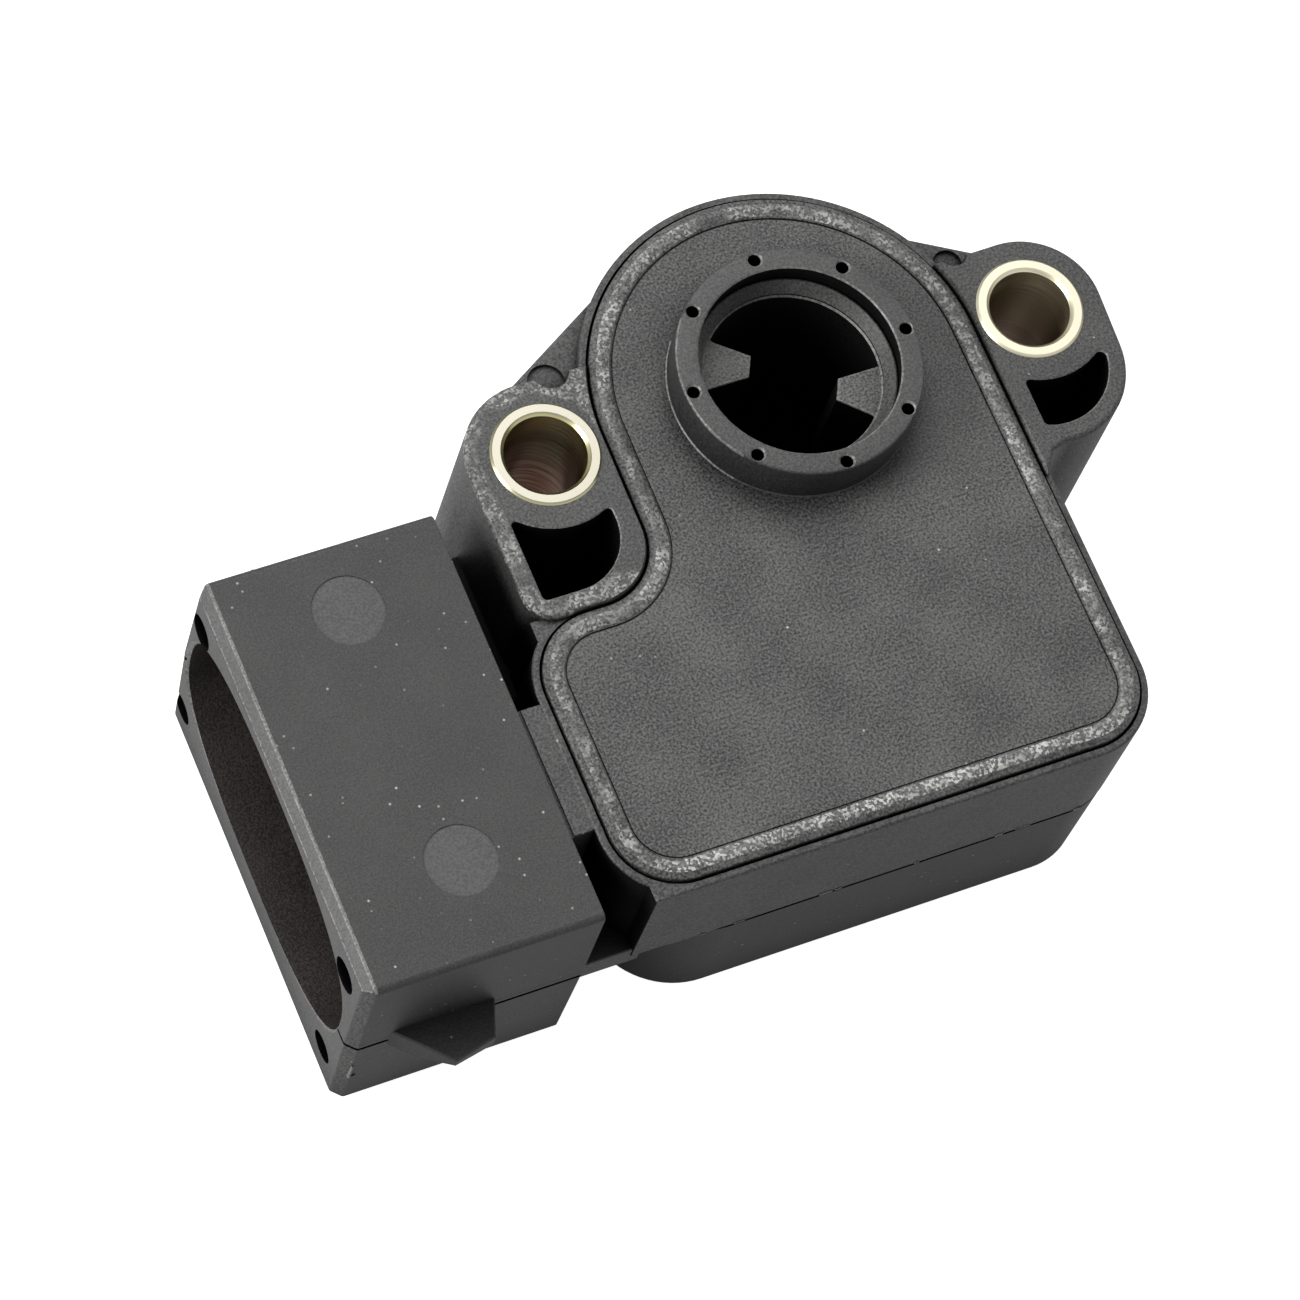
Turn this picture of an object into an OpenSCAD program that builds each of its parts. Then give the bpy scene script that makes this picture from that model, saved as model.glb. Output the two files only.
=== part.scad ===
// Throttle position sensor: a rotary potentiometer in a moulded housing that carries its own plug socket.
// Millimetres, +Z up. The origin is on the rotor's axis, in the plane of the two bush faces that bolt
// against the throttle body. +X runs along the line of the two screws.

/* [Mounting] */
// Bore of each steel bush, for an M5 screw
bush_bore = 5.5; // [5.2:0.1:5.8]
// Outer diameter of each bush
bush_od = 7.3; // [7.1:0.1:7.6]
// Gap between each bush and the cover
bush_gap = 0.45; // [0.4:0.05:1]
// Length of each bush
bush_len = 16; // [15:0.5:17]
// Radius of the left ear round its bush
ear_r_left = 5.3; // [5:0.1:5.6]
// Radius of the right ear round its bush
ear_r_right = 5.15; // [4.9:0.05:5.4]
// How far the bushes stand proud of the ears
bush_proud = 0.15; // [0.1:0.05:0.3]

/* [Body] */
// Width of the cover's round end outside the collar
cover_margin = 5.2; // [4.8:0.1:6]
// Straight front side of the cover, from the axis
cover_front = 29.9; // [29:0.1:31]
// Left side of the cover, from the axis
cover_left = 23.75; // [23.4:0.05:24.2]
// Where the cover steps in below the left ear, from the axis
notch_y = 10.9; // [10.6:0.1:11.4]
// Radius of the hollow that passes round the left ear
notch_r = 4.3; // [4:0.1:4.6]
// Radius of the cover's corners
cover_corner = 4.5; // [4:0.1:5]
// How far the lower half's left side stands in from the cover's
low_in = 2.25; // [1.8:0.05:2.6]
// Height of the whole body below the bush faces
body_h = 20.4; // [20:0.1:22]
// Depth of the mould's parting line below the bush faces
parting_h = 10.2; // [9.8:0.1:10.6]
// Depth of the ledge round the cover
ledge_h = 1.3; // [1:0.05:1.6]
// Width of the ledge outside the cover
ledge_w = 0.6; // [0.5:0.05:0.8]
// Thickness of the body's walls under the cover's seat
wall = 2.15; // [1.8:0.05:2.4]
// Thickness of the body's floor
floor_t = 1.6; // [1.4:0.1:2]

/* [Cover] */
// Depth of the cover's flat field
field_h = 0.5; // [0.4:0.05:0.6]
// Thickness of the cover
cover_t = 2.25; // [2:0.05:2.5]
// Width of the raised rim
rim_w = 1.5; // [1.2:0.1:1.8]
// Gap between the cover and the body
cover_gap = 0.18; // [0.1:0.02:0.24]
// Height of the collar above the bush faces
collar_h = 2.78; // [2.4:0.02:3.4]
// Outer radius of the collar
collar_r = 8.2; // [8.1:0.05:8.6]
// Wall of the collar outside its bore, the rotor's bearing
collar_wall = 1.35; // [1.25:0.05:1.5]
// Number of small holes in the collar's face
collar_holes = 8; // [4:1:12]
// Diameter of those holes
collar_hole_d = 0.86; // [0.6:0.02:1]

/* [Rotor] */
// Running clearance between the rotor and its bearings, on the radius
run_fit = 0.06; // [0.03:0.01:0.09]
// Wall of the rotor round its open bore
rotor_wall = 0.8; // [0.7:0.05:1.2]
// Height of the rotor's top ring above the bush faces
rotor_top = 0.3; // [0:0.1:1]
// Travel of the rotor in degrees
travel = 95; // [80:1:100]
// Gap between the rotor's flange and the housing
flange_gap = 1.25; // [1:0.05:1.6]
// Radius of the pivot pin
pivot_r = 2.4; // [2:0.1:2.6]

/* [Socket] */
// Length of the socket block along X
socket_len = 16.1; // [15:0.1:18]
// Width of the socket block at the parting line
socket_w = 29.4; // [29:0.1:30]
// Height of the socket block
socket_h = 19; // [18.8:0.1:19.4]
// Depth of the socket's top face below the bush faces
socket_top = 0.8; // [0.6:0.1:0.9]
// How far the socket stands out past the body's front side
socket_out = 0.15; // [0:0.05:0.3]
// Gap between the socket block and the body at the neck
neck_len = 2.1; // [1.8:0.1:2.4]
// Depth of the plug's cavity
cavity_d = 11.6; // [10:0.1:12]
// Wall of the socket at the ends of the cavity
end_wall = 1.3; // [1.2:0.1:2]
// Wall of the socket above and below the cavity
flat_wall = 2.1; // [2:0.1:2.6]
// Chamfer round the mouth
mouth_chamfer = 0.75; // [0.4:0.05:0.9]
// Distance between neighbouring blades
blade_pitch = 5; // [4.6:0.1:5.4]
// Width of a blade
blade_w = 2.8; // [2.4:0.1:3]
// Thickness of a blade
blade_t = 0.8; // [0.6:0.1:0.9]
// Length of the blades in the cavity
blade_len = 7.4; // [6:0.1:8.5]

/* [Inside] */
// Thickness of the element board
board_t = 1; // [0.8:0.1:1.2]
// Distance between the middles of the two tracks
track_pitch = 2.2; // [2:0.05:2.3]
// Width of each track
track_w = 1.2; // [0.9:0.1:1.4]
// Wire of the return spring
spring_wire = 0.8; // [0.6:0.1:0.9]
// Turns of the return spring
spring_turns = 3.75; // [2.75:1:4.75]

/* [Hidden] */
$fn = 96;
eps = 0.01;
plastic = [0.22, 0.22, 0.225];
cover_r = collar_r + cover_margin;
right_x = cover_r + bush_gap + bush_od / 2;
left_x = -right_x;
low_left = cover_left - low_in;
chamber_r = cover_r + ledge_w - wall;

// Mould details of the body
parting_step = 0.12;
ear_h = bush_len - bush_proud;
ear_corner = 2;
pocket_wall = 1.25;
pocket_ring = 1.6;
pocket_floor = 2.05;
pocket_h = ear_h - pocket_floor;
pocket_corner = 4;
hook_r = 5.8;
hook_dx = -0.9;
hook_y = -3.9;
web_h = 1.7;
web_in = [0.35, 0.9];
web_pin_at = [cover_r + 0.8, ear_r_right + 0.25];
web_pin_r = 0.9;
web_pin_d = 0.3;

// Seat of the cover, the chamber under it and the board's shelf
seat_w = 1.5;
cover_seat = field_h + cover_t;
collar_bore_r = collar_r - collar_wall;
rim_top = 0.3;
rim_groove = 0.12;
board_top = body_h - floor_t - 2.3;
board_clear = 0.5;
shelf_w = 1.2;
track_t = 0.1;
bead_w = 0.7;
bead_d = 0.6;

// Rotor levels, all as depths below the bush faces
flange_top = cover_seat + 0.5;
flange_t = 2;
journal_r = collar_r - collar_wall - run_fit;
rotor_bore_r = journal_r - rotor_wall;
tube_r = journal_r + 0.2;
flange_r = chamber_r - flange_gap;
disc_r = flange_r - 0.4;
resistor_r = disc_r - 1;
collector_r = resistor_r - track_pitch;
disc_t = 1.2;
pivot_gap = 0.3;
plate_t = 0.25;
brush_gap = 0.06;
disc_bottom = board_top - 1.6;
washer_t = 0.2;
washer_wave = 0.22;
washer_space = 0.8;
boss_top = disc_bottom + washer_space;
boss_r = pivot_r + 1.6;
bore_floor = disc_bottom - 1.5;
stop_r = chamber_r - 0.55;
stop_at = 155;
stop_half = 6;
stop_post_half = 5;
stop_gap = 1;
brush_at = -40;
brush_side = 2.2;

// Driving lugs of the rotor, as corners of the right one
lug_in = [2.9, -0.93];
lug_tip = [2.2, -2.33];
lug_foot = 0.3;
lug_out_at = -45.4;

// Spring
spring_r = (tube_r + flange_r) / 2;
spring_leg_at = 110;
spring_pitch = 1.02;
spring_low = flange_top + flange_t + spring_wire + spring_turns * spring_pitch;
spring_sides = 8;
spring_steps = 20;
spring_hook_r = 0.5;

// Socket and the strips between the blades and the board
socket_rear = cover_left + neck_len;
mouth_x = -socket_rear - socket_len;
socket_bottom = socket_top + socket_h;
socket_draft = 0.3;
socket_y = cover_front + ledge_w + socket_out - socket_w / 2;
mouth_y = socket_y - 0.4;
cavity_w = socket_w - 2 * end_wall;
cavity_h = socket_h - 2 * flat_wall;
cavity_z = socket_top + socket_h / 2 - 0.5;
cavity_n = 2.3;
cavity_steps = 48;
core_hole_r = 1.15;
core_hole_y = socket_w / 2 - 2.4;
core_hole_top = socket_top + 3.35;
core_hole_low = socket_bottom - 2.35;
core_hole_d = 9;
disc_marks = [[8.5, 9.95], [8.9, -8.05]];
disc_mark_r = 2.4;
disc_mark_d = 0.08;
bridge_t = 2.2;
neck_y = [notch_y + 4.9, cover_front - 5.1];
block_y = [notch_y - 5.9, neck_y[1]];
latch_path = [[2.95, 0], [10, 0], [8.95, 2.75], [6, 3.45]];
latch_tip = [1.6, 0.5];
mouth_tilt = 0.3;
blade_tip = 0.25;
strip_w = 1.5;
strip_pitch = 4.2;
strip_y = -(notch_y + cover_front) / 2;
foot_x = 3.9 - low_left;
foot_len = 2;
jog_in = [0.45, 0.75];
terminal_z = -cavity_z - 0.4;
pad_w = 2.4;
pad_len = 2.8;
trace_w = 0.8;
trace_in = 4;
track_ends = [brush_at - travel - 9, brush_at + 9];

// Points of an arc about c, from angle a0 to a1
function arc(c, r, a0, a1, n) =
    [for (i = [0:n]) c + r * [cos(a0 + (a1 - a0) * i / n), sin(a0 + (a1 - a0) * i / n)]];

// What a square corner loses to an arc of radius r about the origin; turn picks the corner
module corner_loss(r, turn) {
    rotate(turn) difference() {
        square(r + 1);
        circle(r);
    }
}

function on_ring(r, a) = [r * cos(a), r * sin(a)];

// Outline of the cover, grown by g; side is its left side and corner its left corners
module body_2d(g, side = cover_left, corner = cover_corner) {
    right = cover_r + g;
    left = -side - g;
    front = -cover_front - g;
    back = g - notch_y;
    hollow = [-cover_r - notch_r, notch_r - notch_y];
    step = max(hollow[0], left);
    circle(right);
    difference() {
        union() {
            translate([-right, back - 1]) square([2 * right, 1 - back]);
            translate([left, front]) square([right - left, back - front]);
            translate([step, back - 1]) square([hollow[0] + notch_r - g + 1 - step, notch_r - g + 1]);
        }
        translate(hollow) circle(notch_r - g);
        translate([left + corner + g, back - corner - g]) corner_loss(corner + g, 90);
        translate([left + corner + g, front + corner + g]) corner_loss(corner + g, 180);
        translate([right - cover_corner - g, front + cover_corner + g]) corner_loss(cover_corner + g, 270);
    }
}

// Outline of the lower half of the body, grown by g
module low_2d(g) {
    body_2d(g, low_left, cover_corner + 1);
}

// The cover's joint with the body, as a ring of width w whose outer edge is moved in by d
module ring_2d(d, w) {
    difference() {
        body_2d(-d);
        body_2d(-d - w);
    }
}

module left_ear_2d() {
    side = left_x - ear_r_left;
    translate([left_x, 0]) circle(ear_r_left);
    translate([left_x, -notch_y]) square([1 - cover_r - left_x, notch_y + ear_r_left]);
    difference() {
        translate([side, -notch_y]) square([ear_r_left + 1, notch_y]);
        translate([side + ear_corner, ear_corner - notch_y]) corner_loss(ear_corner, 180);
    }
}

module right_ear_2d() {
    inner = cover_r - 1;
    hook = [right_x + hook_dx, hook_y];
    tangent = acos((ear_r_right - hook_r) / norm([hook_dx, hook_y])) + atan2(hook_y, hook_dx);
    translate([right_x, 0]) circle(ear_r_right);
    translate([inner, 0]) square([right_x - inner, ear_r_right]);
    translate(hook) circle(hook_r);
    polygon([[right_x, 0], hook, hook + on_ring(hook_r, tangent),
        [right_x, 0] + on_ring(ear_r_right, tangent)]);
    polygon([[inner, -notch_y - 1.2], [cover_r + ledge_w - 0.1, -notch_y - 0.5],
        [cover_r + 1.4, -notch_y + 0.8], [right_x - 1, -notch_y + 1.3], [right_x - 1, 0.5], [inner, 0.5]]);
}

module slab(low, high) {
    translate([0, 0, low]) linear_extrude(high - low, convexity = 6) children();
}

module plate(path, low, high) {
    slab(low, high) polygon(path);
}

// A box given by its low and high corners
module block(low, high) {
    translate(low) cube(high - low);
}

// A ring sector between two radii and two angles
module sector(r0, r1, a0, a1, low, high) {
    steps = max(2, ceil(abs(a1 - a0) / 5));
    plate(concat(arc([0, 0], r1, a0, a1, steps), arc([0, 0], r0, a1, a0, steps)), low, high);
}

// Housing

module shell() {
    slab(-parting_h, -ledge_h) body_2d(ledge_w);
    slab(-body_h, -parting_h) low_2d(ledge_w - parting_step);
    slab(-ear_h, -bush_proud) {
        left_ear_2d();
        right_ear_2d();
    }
}

// Web that joins an ear to the round end, a little inside their common tangent; side is 1 or -1
module web(side, x, ear_r) {
    inset = side < 0 ? web_in[0] : web_in[1];
    r = ear_r - inset;
    body = cover_r + ledge_w - inset;
    tilt = acos((body - r) / abs(x));
    n = [side * cos(tilt), sin(tilt)];
    plate([[side * cover_r / 2, 0], [x, 0], [x, 0] + r * n, body * n], -ear_h, -web_h);
}

module web_marks() {
    for (side = [-1, 1]) translate([side * web_pin_at[0], web_pin_at[1], -web_h - web_pin_d])
        cylinder(h = 1, r = web_pin_r);
}

// Square end of the front wall, and the flat that carries the ledge past the left ear
module wall_ends() {
    front = -cover_front - ledge_w;
    end_x = 1.25 - cover_left;
    block([end_x, front, -parting_h - bridge_t + 0.5], [end_x + cover_corner, front + 1.6, -ledge_h]);
    block([left_x - ear_r_left, -notch_y - 0.95, -parting_h], [left_x, -notch_y + 0.5, -ledge_h]);
}

module socket_block() {
    half = socket_w / 2;
    slope = half - socket_draft;
    c = mouth_chamfer;
    rear = -socket_rear;
    mid = -parting_h;
    intersection() {
        translate([mouth_x, -socket_y, 0]) rotate([90, 0, 90]) linear_extrude(socket_len)
            polygon([[-slope, -socket_top], [-half, mid], [-slope, -socket_bottom],
                [slope, -socket_bottom], [half, mid], [slope, -socket_top]]);
        rotate([90, 0, 0]) translate([0, 0, socket_y - half - 1]) linear_extrude(socket_w + 2)
            polygon([[rear, -socket_top], [mouth_x + c, -socket_top], [mouth_x, -socket_top - c],
                [mouth_x, mid], [mouth_x + mouth_tilt, -socket_bottom + c],
                [mouth_x + mouth_tilt + c, -socket_bottom], [rear, -socket_bottom]]);
        plate([[rear, -socket_y - half], [mouth_x + c, -socket_y - half], [mouth_x, -socket_y - half + c],
            [mouth_x, -socket_y + half - c], [mouth_x + c, -socket_y + half], [rear, -socket_y + half]],
            -socket_bottom, -socket_top);
    }
}

// Ramp that holds the plug; side is -1 for the front wall and 1 for the back one
module latch_ramp(side) {
    root = socket_w / 2 - 0.3;
    out = latch_path[3][1] + 0.1;
    low = terminal_z - bridge_t / 2;
    high = terminal_z + bridge_t / 2;
    translate([mouth_x, -socket_y, 0]) scale([1, side, 1]) intersection() {
        plate([for (p = latch_path) p + [0, root]], low, high);
        translate([0, root, 0]) rotate([90, 0, 90]) linear_extrude(socket_len)
            polygon([[-1, low], [latch_tip[0], low], [out, high - latch_tip[1]], [out, high], [-1, high]]);
    }
}

// What joins the socket to the body: the neck, a bridge on the parting line and a block below it
module neck() {
    rear = -socket_rear - 0.5;
    half = socket_w / 2 - socket_draft / 2;
    block([rear, -neck_y[1], -parting_h], [2 - cover_left, -neck_y[0], -ledge_h]);
    block([rear, -socket_y - half, terminal_z - bridge_t / 2],
        [2 - cover_left, -socket_y + half, terminal_z + bridge_t / 2]);
    block([rear, -block_y[1], -socket_bottom + 0.5], [low_in - cover_left + 2, -block_y[0], -parting_h]);
}

// Curve of the plug's cavity: a long oval with bowed sides
function bowed(v) = sign(v) * pow(abs(v), 2 / cavity_n);
function cavity_path() = [for (i = [0:cavity_steps - 1]) let (a = 360 * i / cavity_steps)
    [cavity_w / 2 * bowed(cos(a)), cavity_h / 2 * bowed(sin(a))]];

module cavity() {
    translate([mouth_x, -mouth_y, -cavity_z]) rotate([90, 0, 90]) translate([0, 0, -1])
        linear_extrude(cavity_d + 1) polygon(cavity_path());
}

module core_holes() {
    for (side = [-1, 1], h = [core_hole_top, core_hole_low])
        translate([mouth_x - 1, -mouth_y + side * core_hole_y, -h]) rotate([0, 90, 0])
            cylinder(h = core_hole_d + 1, r = core_hole_r);
}

module socket_marks() {
    for (at = disc_marks) translate([mouth_x + at[0], -socket_y + at[1], -socket_top - disc_mark_d])
        cylinder(h = 1, r = disc_mark_r);
}

// Pockets beside the bushes
module pockets() {
    ring = bush_od / 2 + pocket_ring;
    outer = left_x - ear_r_left + pocket_wall;
    inner = -cover_r - seat_w;
    low = pocket_wall - notch_y + 0.1;
    slab(-pocket_h, 1) difference() {
        translate([outer, low]) square([inner - outer, -low]);
        translate([left_x, 0]) circle(ring);
        translate([inner - pocket_corner, low + pocket_corner]) corner_loss(pocket_corner, 270);
    }
    slab(-pocket_h, 1) difference() {
        intersection() {
            translate([right_x + hook_dx, hook_y]) circle(hook_r - pocket_wall);
            translate([cover_r + 1.4, hook_y - hook_r]) square([2 * hook_r, hook_r - hook_y]);
        }
        translate([right_x, 0]) circle(ring);
    }
}

module bush_holes() {
    for (x = [left_x, right_x]) translate([x, 0, -bush_len - 1]) cylinder(h = bush_len + 2, r = bush_od / 2);
}

// Recess for the cover, the groove for its bead, the chamber and the board's shelf
module chamber() {
    inner = wall - ledge_w;
    slab(-cover_seat, 1) body_2d(cover_gap / 2);
    slab(-cover_seat - bead_d, -cover_seat + eps) ring_2d(cover_gap / 2 + 0.25, bead_w);
    slab(-parting_h - 0.5, -cover_seat + eps) body_2d(-inner);
    slab(-board_top - board_t, -parting_h) low_2d(-inner);
    slab(-body_h + floor_t, -board_top) low_2d(-inner - shelf_w);
}

// Stops for the rotor, the slot that holds the spring's fixed leg, and the pivot's boss
module chamber_posts() {
    rest_post = stop_at + stop_half + stop_gap + stop_post_half;
    end_post = stop_at - travel - stop_half - stop_gap - stop_post_half;
    inner = chamber_r;
    for (a = [rest_post, end_post])
        sector(disc_r + 0.5, inner + 0.6, a - stop_post_half, a + stop_post_half,
            -board_top + 0.3, -disc_bottom + disc_t + 1);
    difference() {
        sector(flange_r - 0.3, inner + 0.6, spring_leg_at - 9, spring_leg_at + 9,
            -spring_low - 1.6, -spring_low + 1.6);
        rotate(spring_leg_at) block([spring_r, -spring_wire / 2 - 0.05, -spring_low - 0.6],
            [inner - 0.2, spring_wire / 2 + 0.05, -spring_low + 0.6]);
    }
    translate([0, 0, -body_h + floor_t - eps]) cylinder(h = body_h - floor_t - boss_top, r = boss_r);
}

module housing() {
    color(plastic) difference() {
        union() {
            difference() {
                union() {
                    shell();
                    wall_ends();
                    web(-1, left_x, ear_r_left);
                    web(1, right_x, ear_r_right);
                    socket_block();
                    latch_ramp(-1);
                    latch_ramp(1);
                    neck();
                }
                chamber();
            }
            chamber_posts();
        }
        translate([0, 0, -body_h + floor_t]) cylinder(h = body_h, r = pivot_r + run_fit);
        cavity();
        core_holes();
        socket_marks();
        web_marks();
        pockets();
        bush_holes();
        for (k = [-1:1]) terminal_strip(k);
    }
}

// Cover with the collar that centres the sensor

module collar() {
    lip = 0.15;
    lip_h = 0.7;
    rotate_extrude() polygon([[collar_bore_r, -cover_seat], [collar_r, -cover_seat],
        [collar_r, collar_h - 0.2], [collar_r - 0.2, collar_h],
        [collar_bore_r - lip + 0.15, collar_h], [collar_bore_r - lip, collar_h - 0.15],
        [collar_bore_r - lip, collar_h - lip_h], [collar_bore_r, collar_h - lip_h - 0.1]]);
}

module cover() {
    hole_at = (collar_bore_r + collar_r) / 2 + 0.1;
    color(plastic) difference() {
        union() {
            difference() {
                slab(-cover_seat, -rim_top) body_2d(-cover_gap / 2);
                slab(-field_h, 1) body_2d(-rim_w);
                slab(-field_h - rim_groove, 1) ring_2d(rim_w, rim_groove);
                translate([0, 0, -cover_seat - 1]) cylinder(h = cover_seat + 2, r = collar_r - 0.5);
            }
            collar();
        }
        for (i = [0:collar_holes - 1]) rotate(360 * i / collar_holes) translate([hole_at, 0, -1])
            cylinder(h = collar_h + 2, r = collar_hole_d / 2);
    }
}

module cover_sealant() {
    color("dimgray") slab(-cover_seat - bead_d, -cover_seat) ring_2d(cover_gap / 2 + 0.25, bead_w);
}

// Rotor: an open drive hub with two lugs, a spring flange and the disc that carries the wiper

module driving_lug() {
    reach = rotor_bore_r + 0.4;
    plate([lug_in, lug_tip, on_ring(rotor_bore_r - lug_foot, lug_out_at), on_ring(reach, lug_out_at - 2),
        on_ring(reach, lug_out_at / 2), [reach, lug_in[1]]], -bore_floor - 0.5, rotor_top);
}

module rotor() {
    color([0.14, 0.14, 0.145]) difference() {
        union() {
            difference() {
                rotate_extrude() polygon([[0, -disc_bottom - washer_space - 2 + pivot_gap],
                    [pivot_r, -disc_bottom - washer_space - 2 + pivot_gap], [pivot_r, -disc_bottom],
                    [disc_r, -disc_bottom], [disc_r, -disc_bottom + disc_t], [tube_r, -disc_bottom + disc_t],
                    [tube_r, -flange_top - flange_t], [flange_r, -flange_top - flange_t],
                    [flange_r, -flange_top], [journal_r, -flange_top], [journal_r, rotor_top],
                    [0, rotor_top]]);
                translate([0, 0, -bore_floor]) cylinder(h = bore_floor + rotor_top + 1, r = rotor_bore_r);
            }
            driving_lug();
            rotate(180) driving_lug();
            sector(disc_r - 1, stop_r, stop_at - stop_half, stop_at + stop_half,
                -disc_bottom, -disc_bottom + disc_t);
        }
        rotate(spring_leg_at + spring_turns * 360) translate([spring_r, 0, -flange_top - flange_t - 1])
            cylinder(h = flange_t + 2, r = spring_hook_r);
    }
}

// A round wire along a route, as one closed solid
module wire(route, r) {
    n = spring_sides;
    last = len(route) - 1;
    function unit(v) = v / norm(v);
    heading = [for (i = [0:last]) unit(route[min(i + 1, last)] - route[max(i - 1, 0)])];
    points = [for (i = [0:last])
        let (side = unit(cross(heading[i], [0.001, 0, 1])), up = cross(side, heading[i]))
        for (k = [0:n - 1]) route[i] + r * (side * cos(360 * k / n) + up * sin(360 * k / n))];
    sides = [for (i = [0:last - 1]) for (k = [0:n - 1]) let (j = (k + 1) % n)
        [i * n + k, i * n + j, (i + 1) * n + j, (i + 1) * n + k]];
    polyhedron(points, concat([[for (k = [n - 1:-1:0]) k]], [[for (k = [0:n - 1]) last * n + k]], sides),
        convexity = 8);
}

module return_spring() {
    steps = spring_turns * spring_steps;
    rise = spring_turns * spring_pitch;
    leg_out = chamber_r - 0.4;
    end_at = spring_leg_at + spring_turns * 360;
    top = -spring_low + rise;
    bend = 0.9;
    coil = [for (i = [1:steps - 1]) let (a = spring_leg_at + 360 * i / spring_steps)
        [spring_r * cos(a), spring_r * sin(a), -spring_low + rise * i / steps]];
    function at(r, a, z) = [r * cos(a), r * sin(a), z];
    route = concat([at(leg_out, spring_leg_at, -spring_low), at(spring_r + bend, spring_leg_at, -spring_low),
        at(spring_r + 0.25, spring_leg_at + 2, -spring_low)], coil,
        [at(spring_r, end_at - 5, top + 0.1), at(spring_r, end_at, top + bend),
        at(spring_r, end_at, -flange_top - 0.3)]);
    color("silver") wire(route, spring_wire / 2);
}

// Wave washer that takes up the rotor's end play
module wave_washer() {
    n = 48;
    inner = pivot_r + 0.35;
    outer = boss_r - 0.1;
    mid = -disc_bottom - washer_space / 2;
    function lift(a) = mid + washer_wave * sin(3 * a);
    points = [for (i = [0:n - 1]) let (a = 360 * i / n)
        for (q = [[inner, -1], [outer, -1], [outer, 1], [inner, 1]])
        [q[0] * cos(a), q[0] * sin(a), lift(a) + q[1] * washer_t / 2]];
    faces = [for (i = [0:n - 1]) for (k = [0:3]) let (j = (i + 1) % n, m = (k + 1) % 4)
        [i * 4 + k, j * 4 + k, j * 4 + m, i * 4 + m]];
    color("lightgray") polyhedron(points, [for (f = faces) [f[3], f[2], f[1], f[0]]], convexity = 6);
}

// Wiper: a stamped plate under the rotor's disc with a brush for each track

module wiper_plate() {
    color("goldenrod") difference() {
        sector(collector_r - 1, resistor_r + 0.9, brush_at - 14, brush_at + 14,
            -disc_bottom - plate_t, -disc_bottom);
        for (a = [-9, 9]) rotate(brush_at + a)
            translate([(collector_r + resistor_r) / 2, 0, -disc_bottom - 1]) cylinder(h = 2, r = 0.5);
    }
}

// A brush of parallel wires on a weld foot, leaning down onto a track of radius r
module brush(r) {
    fingers = 5;
    finger_w = 0.16;
    spread = 0.2;
    root = -disc_bottom - plate_t;
    tip = -board_top + track_t + brush_gap;
    lean = 24;
    reach = (root - 0.1 - tip) / sin(lean);
    rotate(brush_at) translate([r, 0, 0]) {
        block([-spread * 2.6, -0.2, root - 0.25], [spread * 2.6, brush_side - 1.2, root]);
        for (i = [0:fingers - 1]) translate([(i - 2) * spread, 0, root - 0.1]) rotate([lean, 0, 0])
            block([-finger_w / 2, -reach + 0.1, -0.08], [finger_w / 2, 0.2, 0.08]);
    }
}

module resistor_brush() {
    color("gold") brush(resistor_r);
}

module collector_brush() {
    color("gold") brush(collector_r);
}

// Element board with its printed tracks

module element_board() {
    inner = wall - ledge_w + board_clear;
    color([0.16, 0.33, 0.2]) difference() {
        slab(-board_top - board_t, -board_top) low_2d(-inner);
        translate([0, 0, -board_top - 2]) cylinder(h = 4, r = boss_r + 0.3);
    }
}

module track(r, a0, a1) {
    sector(r - track_w / 2, r + track_w / 2, a0, a1, -board_top, -board_top + track_t);
}

module resistor_track() {
    color([0.08, 0.08, 0.08]) track(resistor_r, track_ends[0], track_ends[1]);
}

module collector_track() {
    color([0.1, 0.1, 0.1]) track(collector_r, track_ends[0] - 6, track_ends[1]);
}

// A printed conductor of straight runs through the points, ending in a pad under its terminal's foot
module conductor(points, pad_y) {
    low = -board_top;
    high = -board_top + track_t;
    color("silver") union() {
        block([foot_x - pad_len / 2, pad_y - pad_w / 2, low],
            [foot_x + pad_len / 2, pad_y + pad_w / 2, high]);
        for (i = [0:len(points) - 2]) let (v = points[i + 1] - points[i])
            translate([points[i][0], points[i][1], low]) rotate(atan2(v[1], v[0]))
                translate([0, -trace_w / 2, 0]) cube([norm(v), trace_w, track_t]);
        for (p = points) translate([p[0], p[1], low]) cylinder(h = track_t, r = trace_w / 2);
    }
}

function strip_at(k) = strip_y - k * strip_pitch;

module signal_conductor() {
    a = track_ends[0] - 6;
    difference() {
        conductor([on_ring(collector_r + track_w / 2, a - 4), on_ring(resistor_r + track_w, a - 4),
            [-resistor_r - trace_w, -notch_y + 1.4], [foot_x + trace_in, strip_at(-1)],
            [foot_x, strip_at(-1)]], strip_at(-1));
        translate([0, 0, -board_top - 1]) cylinder(h = 2, r = collector_r - track_w / 2);
        color("silver") track(collector_r, track_ends[0] - 6, track_ends[1]);
    }
    color("silver") sector(collector_r - track_w / 2, collector_r + track_w / 2, a - 9, a, -board_top,
        -board_top + track_t);
}

module supply_conductor() {
    a = track_ends[0];
    conductor([on_ring(resistor_r + track_w / 2 + 0.2, a - 3), [-resistor_r + 1, -notch_y - trace_in],
        [foot_x + trace_in, strip_at(0)], [foot_x, strip_at(0)]], strip_at(0));
    color("silver") sector(resistor_r - track_w / 2, resistor_r + track_w / 2 + 0.2, a - 5, a, -board_top,
        -board_top + track_t);
}

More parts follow.
